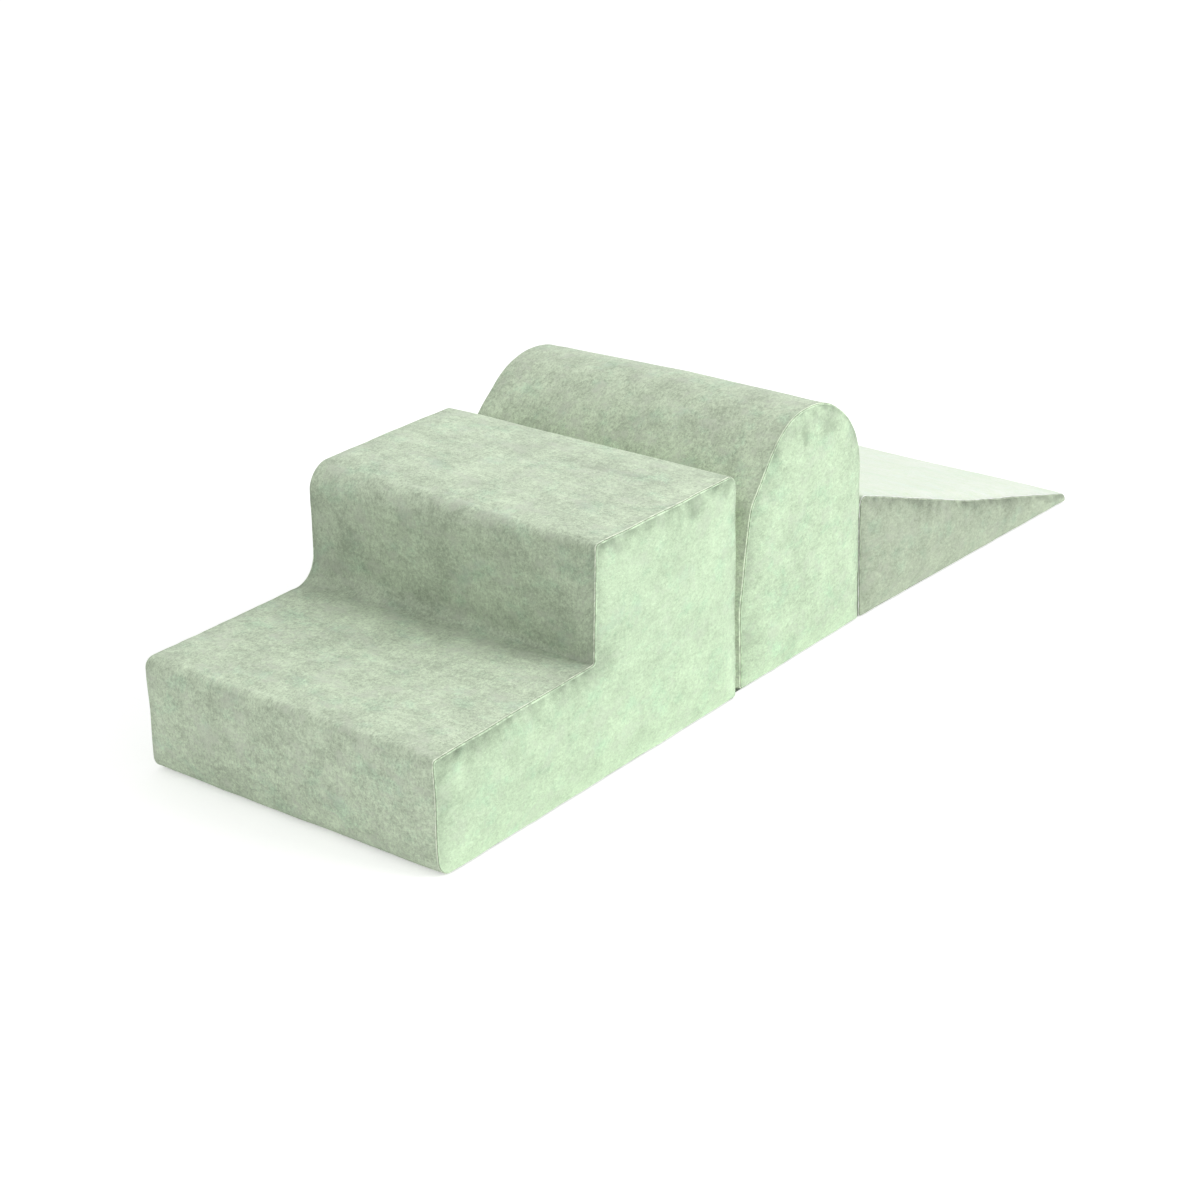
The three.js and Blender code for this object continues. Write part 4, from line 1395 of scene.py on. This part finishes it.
class Base:
    """The cloth under a block on one side of its zip, from the wrap's foot to the slot.
    Its places are a row of Y values and distances from the slot's edge."""

    def __init__(self, block, end):
        self.block = block
        self.zip = Zip(block)
        self.way = 1 if end == "front" else -1
        self.name = f"{block.name}_base_{end}"
        self.low = self.zip.low - slot_end_room - block.centre_y
        self.high = self.zip.high + slot_end_room - block.centre_y

    def in_slot(self, y):
        return self.low < y < self.high

    def edge(self, y):
        """X of the cloth's edge at the slot or, beyond its ends, against the other cloth."""
        off = slot_half_width if self.in_slot(y) else base_seam / 2
        return self.zip.x - self.block.start - self.way * off

    def foot(self, y):
        """X where the wrap's foot ends."""
        profile, _ = outline(self.block, far_share_at(y), 0, 0, fine_pitch)
        return profile[0][0] + base_seam if self.way > 0 else profile[-1][0] - base_seam

    def height(self, y, distance):
        """Height of the cloth's middle."""
        inside = eased(min(y - self.low, self.high - y) / hem_width)
        hem = eased((hem_width - distance) / (hem_width - hem_flat)) * inside
        ripple = base_ripple * noise.noise(Vector((y, distance, 0)) / base_ripple_wave)
        return base_level + (hem_level - base_level) * hem + ripple

    def rows(self):
        """Y of the rows of points, with two close together where the slot starts and ends."""
        ends = (self.low, self.high)
        even = np.linspace(-base_half, base_half, round(2 * base_half / base_pitch) + 1)
        clear = [y for y in even if min(abs(y - e) for e in ends) > least_row_gap]
        return sorted(clear + [e + d for e in ends for d in (-base_seam, base_seam)])

    def sheet(self):
        points = []
        rows = self.rows()
        reach = abs(self.edge(self.high + base_seam) - self.foot(0)) - hem_rows[-1]
        wide = max(2, round(reach / base_pitch))
        for y in rows:
            edge, foot = self.edge(y), self.foot(y)
            last = abs(edge - foot)
            distances = hem_rows + list(np.linspace(hem_rows[-1], last, wide + 1)[1:])
            points += [(edge - self.way * d, y, self.height(y, d)) for d in distances]
        faces = faces_between(len(rows), len(hem_rows) + wide)
        return placed(self.block, points), [f[::-self.way] for f in faces]

    def dots(self):
        """Places of the grip dots, in staggered rows clear of the hem and the edges."""
        out = []
        up = np.arange(-base_half + dot_margin, base_half - dot_margin, dot_pitch * triangle_rise)
        for i, y in enumerate(up):
            foot = self.foot(y) + self.way * dot_margin
            last = self.edge(self.high - base_seam) - self.way * (hem_width + dot_margin)
            reach = abs(last - foot)
            for d in np.arange((i % 2) * dot_pitch / 2, reach, dot_pitch):
                out.append((foot + self.way * d, y, base_level - base_cloth_thickness / 2))
        return placed(self.block, out)

    def stitch_path(self):
        """The row of stitches along the hem, on the underside."""
        out = []
        for y in self.rows():
            if self.low + hem_width < y < self.high - hem_width:
                z = self.height(y, stitch_row) - base_cloth_thickness / 2 - stitch_depth
                out.append((self.edge(y) - self.way * stitch_row, y, z))
        return placed(self.block, out)


def base_cloth(block, end):
    base = Base(block, end)
    points, faces = base.sheet()
    cloth = add_piece(f"{base.name}_cloth", mesh_of(base.name, points, faces), grip_cloth)
    thickened(cloth, base_cloth_thickness, 0)
    carried(cloth, block, base.name)
    dot_mesh = dots.run(f"{base.name}_dots", base.dots(), [], grip_rubber)
    grip = carried(add_piece(f"{base.name}_dots", dot_mesh, grip_rubber), block)
    path = base.stitch_path()
    edges = [(i, i + 1) for i in range(len(path) - 1)]
    row = stitches.run(f"{base.name}_stitches", path, edges, thread)
    sewn = carried(add_piece(f"{base.name}_stitches", row, thread), block)
    low, high = points.min(axis=0), points.max(axis=0)
    flat = (float(high[0] - low[0]), float(high[1] - low[1]))


# Zip tapes: thin, with a corded edge by the teeth

cord_radius = 0.75 * mm
tape_pitch = 6 * mm
tape_ripple, tape_ripple_wave = 0.06 * mm, 23 * mm
cord_points = 9
band_shares = (0.35, 0.65, 0.97)


def tape_section(z):
    """Half turn of the cord and the flat band behind it, as distances from the teeth and heights."""
    middle, half = (z.bottom + z.top) / 2, (z.top - z.bottom) / 2
    turn = math.asin(half / cord_radius)
    out = []
    for a in np.linspace(-math.pi + turn, math.pi - turn, cord_points):
        out.append((cord_radius * (1 - math.cos(a)), middle + cord_radius * math.sin(a)))
    out += [(share * z.width, z.top) for share in band_shares]
    out.append((z.width, middle))
    return out + [(share * z.width, z.bottom) for share in reversed(band_shares)]


def zip_tape(block, end):
    z = Zip(block)
    way = -1 if end == "front" else 1
    section = tape_section(z)
    rows = np.linspace(z.low, z.high, round((z.high - z.low) / tape_pitch) + 1)
    points = []
    for y in rows:
        ripple = tape_ripple * noise.noise(Vector((y, way, 0)) / tape_ripple_wave)
        points += [(z.x + way * (z.gap + d), y, h + ripple) for d, h in section]
    count = len(section)
    faces = [tuple(range(count)), tuple(reversed(range(len(points) - count, len(points))))]
    faces += faces_between(len(rows), count, closed=True)
    node = f"{block.name}_zip_tape_{end}"
    mesh = mesh_of(f"{node}_weave", points, faces)
    face_outwards(mesh)
    tape = carried(add_piece(f"{node}_weave", mesh, tape_weave), block, node)
    mesh.set_sharp_from_angle(angle=sharp_angle)
    z.high - z.low


# Hook and loop patches: a woven plate with rounded corners, a sewn border and a field of filaments

patch_corner = 8 * mm
patch_edge = 0.25 * mm
border_inset = 3 * mm
border_thread = 0.4 * mm
field_inset = 5.5 * mm
field_pitch = 3.0 * mm
field_row_rise = 0.87
field_start = 0.1 * mm
corner_steps = 6
least_corner = 1 * mm

# The patches stand on the walls between the blocks. They face along the row: loops the ramp, 1, and
# hooks the steps, -1
Fastener = namedtuple("Fastener", "facing thickness backing pile filament")
fasteners = {
    "loop": Fastener(1, 0.8 * mm, loop_backing, loop_pile, {
        "Radius": 0.62 * mm, "Sweep": math.radians(300), "Spin": math.tau, "Seed": 11,
    }),
    "hook": Fastener(-1, 0.7 * mm, hook_backing, hook_pile, {
        "Radius": 0.46 * mm, "Sweep": math.radians(225), "Spin": 0.5, "Seed": 23,
    }),
}


def rounded_rim(length, height, radius, inset=0.0):
    """Points of a rounded oblong about its middle."""
    radius = max(radius - inset, least_corner)
    x, y = length / 2 - inset - radius, height / 2 - inset - radius
    out = []
    for i, (cx, cy) in enumerate(((x, y), (-x, y), (-x, -y), (x, -y))):
        for a in np.linspace(i * math.pi / 2, (i + 1) * math.pi / 2, corner_steps + 1):
            out.append((cx + radius * math.cos(a), cy + radius * math.sin(a)))
    return out


def patch(block, kind, place):
    node = f"{block.name}_{kind}_patch_{place}"
    low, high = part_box(node)
    length, height = high.y - low.y, high.z - low.z
    facing, thick, backing, pile, filament = fasteners[kind]
    rings = [
        [(x, y, 0) for x, y in rounded_rim(length, height, patch_corner)],
        [(x, y, thick - patch_edge) for x, y in rounded_rim(length, height, patch_corner)],
        [(x, y, thick) for x, y in rounded_rim(length, height, patch_corner, patch_edge)],
    ]
    count = len(rings[0])
    faces = [tuple(reversed(range(count))), tuple(range(2 * count, 3 * count))]
    faces += faces_between(len(rings), count, closed=True)
    plate = mesh_of(f"{node}_plate", sum(rings, []), faces)

    border = [(x, y, thick) for x, y in rounded_rim(length, height, patch_corner, border_inset)]
    edges = [(i, (i + 1) % len(border)) for i in range(len(border))]
    sewn = stitches.run(f"{node}_stitches", border, edges, thread, Thread=border_thread)

    x, y = length / 2 - field_inset, height / 2 - field_inset
    field = [
        (u + (i % 2) * field_pitch / 2, v, thick - field_start)
        for i, v in enumerate(np.arange(-y, y, field_pitch * field_row_rise))
        for u in np.arange(-x, x, field_pitch)
    ]
    grown = filaments.run(f"{node}_{kind}s", field, [], pile, **filament)

    wall = low.x if facing > 0 else high.x
    turned = Matrix(((0, facing, 0), (0, 0, 1), (facing, 0, 0))).transposed().to_4x4()
    seated = Matrix.Translation((wall, (low.y + high.y) / 2, (low.z + high.z) / 2)) @ turned
    for mesh in (plate, sewn, grown):
        mesh.transform(seated)
    base = carried(add_piece(f"{node}_plate", plate, backing), block, node)
    plate.set_sharp_from_angle(angle=sharp_angle)
    parts = [
        carried(add_piece(mesh.name, mesh, finish), block)
        for mesh, finish in ((sewn, thread), (grown, pile))
    ]


for block in blocks:
    cover(block)
    foam_core(block)
    for end in ("front", "rear"):
        base_cloth(block, end)
        zip_tape(block, end)
    for place in ("near", "far"):
        if block.ahead:
            patch(block, "loop", place)
        if block.behind:
            patch(block, "hook", place)

# Zip teeth, stops, sliders and pulls keep their meshes

rigid_finish = {
    "zip_resin": moulded_finish("zip_resin", (0.30, 0.37, 0.28), 0.42),
    "zip_metal": nickel_finish(),
}
slot_of = {part["node"]: part["material_slot"] for part in frame["record"]["subparts"]}
for name, node in frame["nodes"].items():
    if slot_of[name] in rigid_finish:
        node.data.materials.clear()
        node.data.materials.append(rigid_finish[slot_of[name]])

# Floor, world and lamp

floor_size = 30.0
floor_drop = 0.4 * mm
floor_colour = colour(0.85, 0.85, 0.85)
floor_white = 0.45
white = colour(1, 1, 1)
world_strength = 0.70


def stage_floor():
    """A pale floor that is whiter for the camera than its light makes it, and still takes shadows."""
    f = Finish("floor")
    seen = f.node("ShaderNodeLightPath", output="Is Camera Ray")
    lit = f.node("ShaderNodeBsdfDiffuse", inputs={"Color": floor_colour})
    glow = f.node("ShaderNodeEmission", inputs={"Color": white, "Strength": floor_white * seen})
    shader = f.node("ShaderNodeAddShader", inputs={0: lit, 1: glow})
    f.node("ShaderNodeOutputMaterial", inputs={"Surface": shader}, output=None)
    half = floor_size / 2
    corners = [(-half, -half), (half, -half), (half, half), (-half, half)]
    mesh = mesh_of("floor", [(x, y, -floor_drop) for x, y in corners], [(0, 1, 2, 3)])
    add_piece("floor", mesh, f.material)


def light_world():
    """A world that is white where it is seen, also in metal and through glass, and lights less."""
    world = bpy.data.worlds.new("studio")
    bpy.context.scene.world = world
    world.use_nodes = True
    tree = world.node_tree
    tree.nodes.clear()
    rays = add_node(tree, "ShaderNodeLightPath").outputs
    seen = rays["Is Camera Ray"]
    for kind in ("Glossy", "Transmission"):
        inputs = {0: seen, 1: rays[f"Is {kind} Ray"]}
        seen = add_node(tree, "ShaderNodeMath", {"operation": "MAXIMUM"}, inputs).outputs[0]
    inputs = {"Value": seen, "To Min": world_strength, "To Max": 1.0}
    strength = add_node(tree, "ShaderNodeMapRange", inputs=inputs).outputs[0]
    inputs = {"Color": white, "Strength": strength}
    background = add_node(tree, "ShaderNodeBackground", inputs=inputs).outputs[0]
    add_node(tree, "ShaderNodeOutputWorld", inputs={"Surface": background})


def add_lamp(name, place, aim, size, power):
    data = bpy.data.lights.new(name, "AREA")
    data.shape = "DISK"
    data.size = size
    data.energy = power
    lamp = bpy.data.objects.new(name, data)
    lamp.location = place
    lamp.rotation_euler = (Vector(aim) - Vector(place)).to_track_quat("-Z", "Y").to_euler()
    bpy.context.scene.collection.objects.link(lamp)


stage_floor()
light_world()
add_lamp("key", place=(2.4, -7.2, 3.6), aim=(0, 0, 0.2), size=4.8, power=380)

bpy.context.scene.view_settings.view_transform = "Standard"
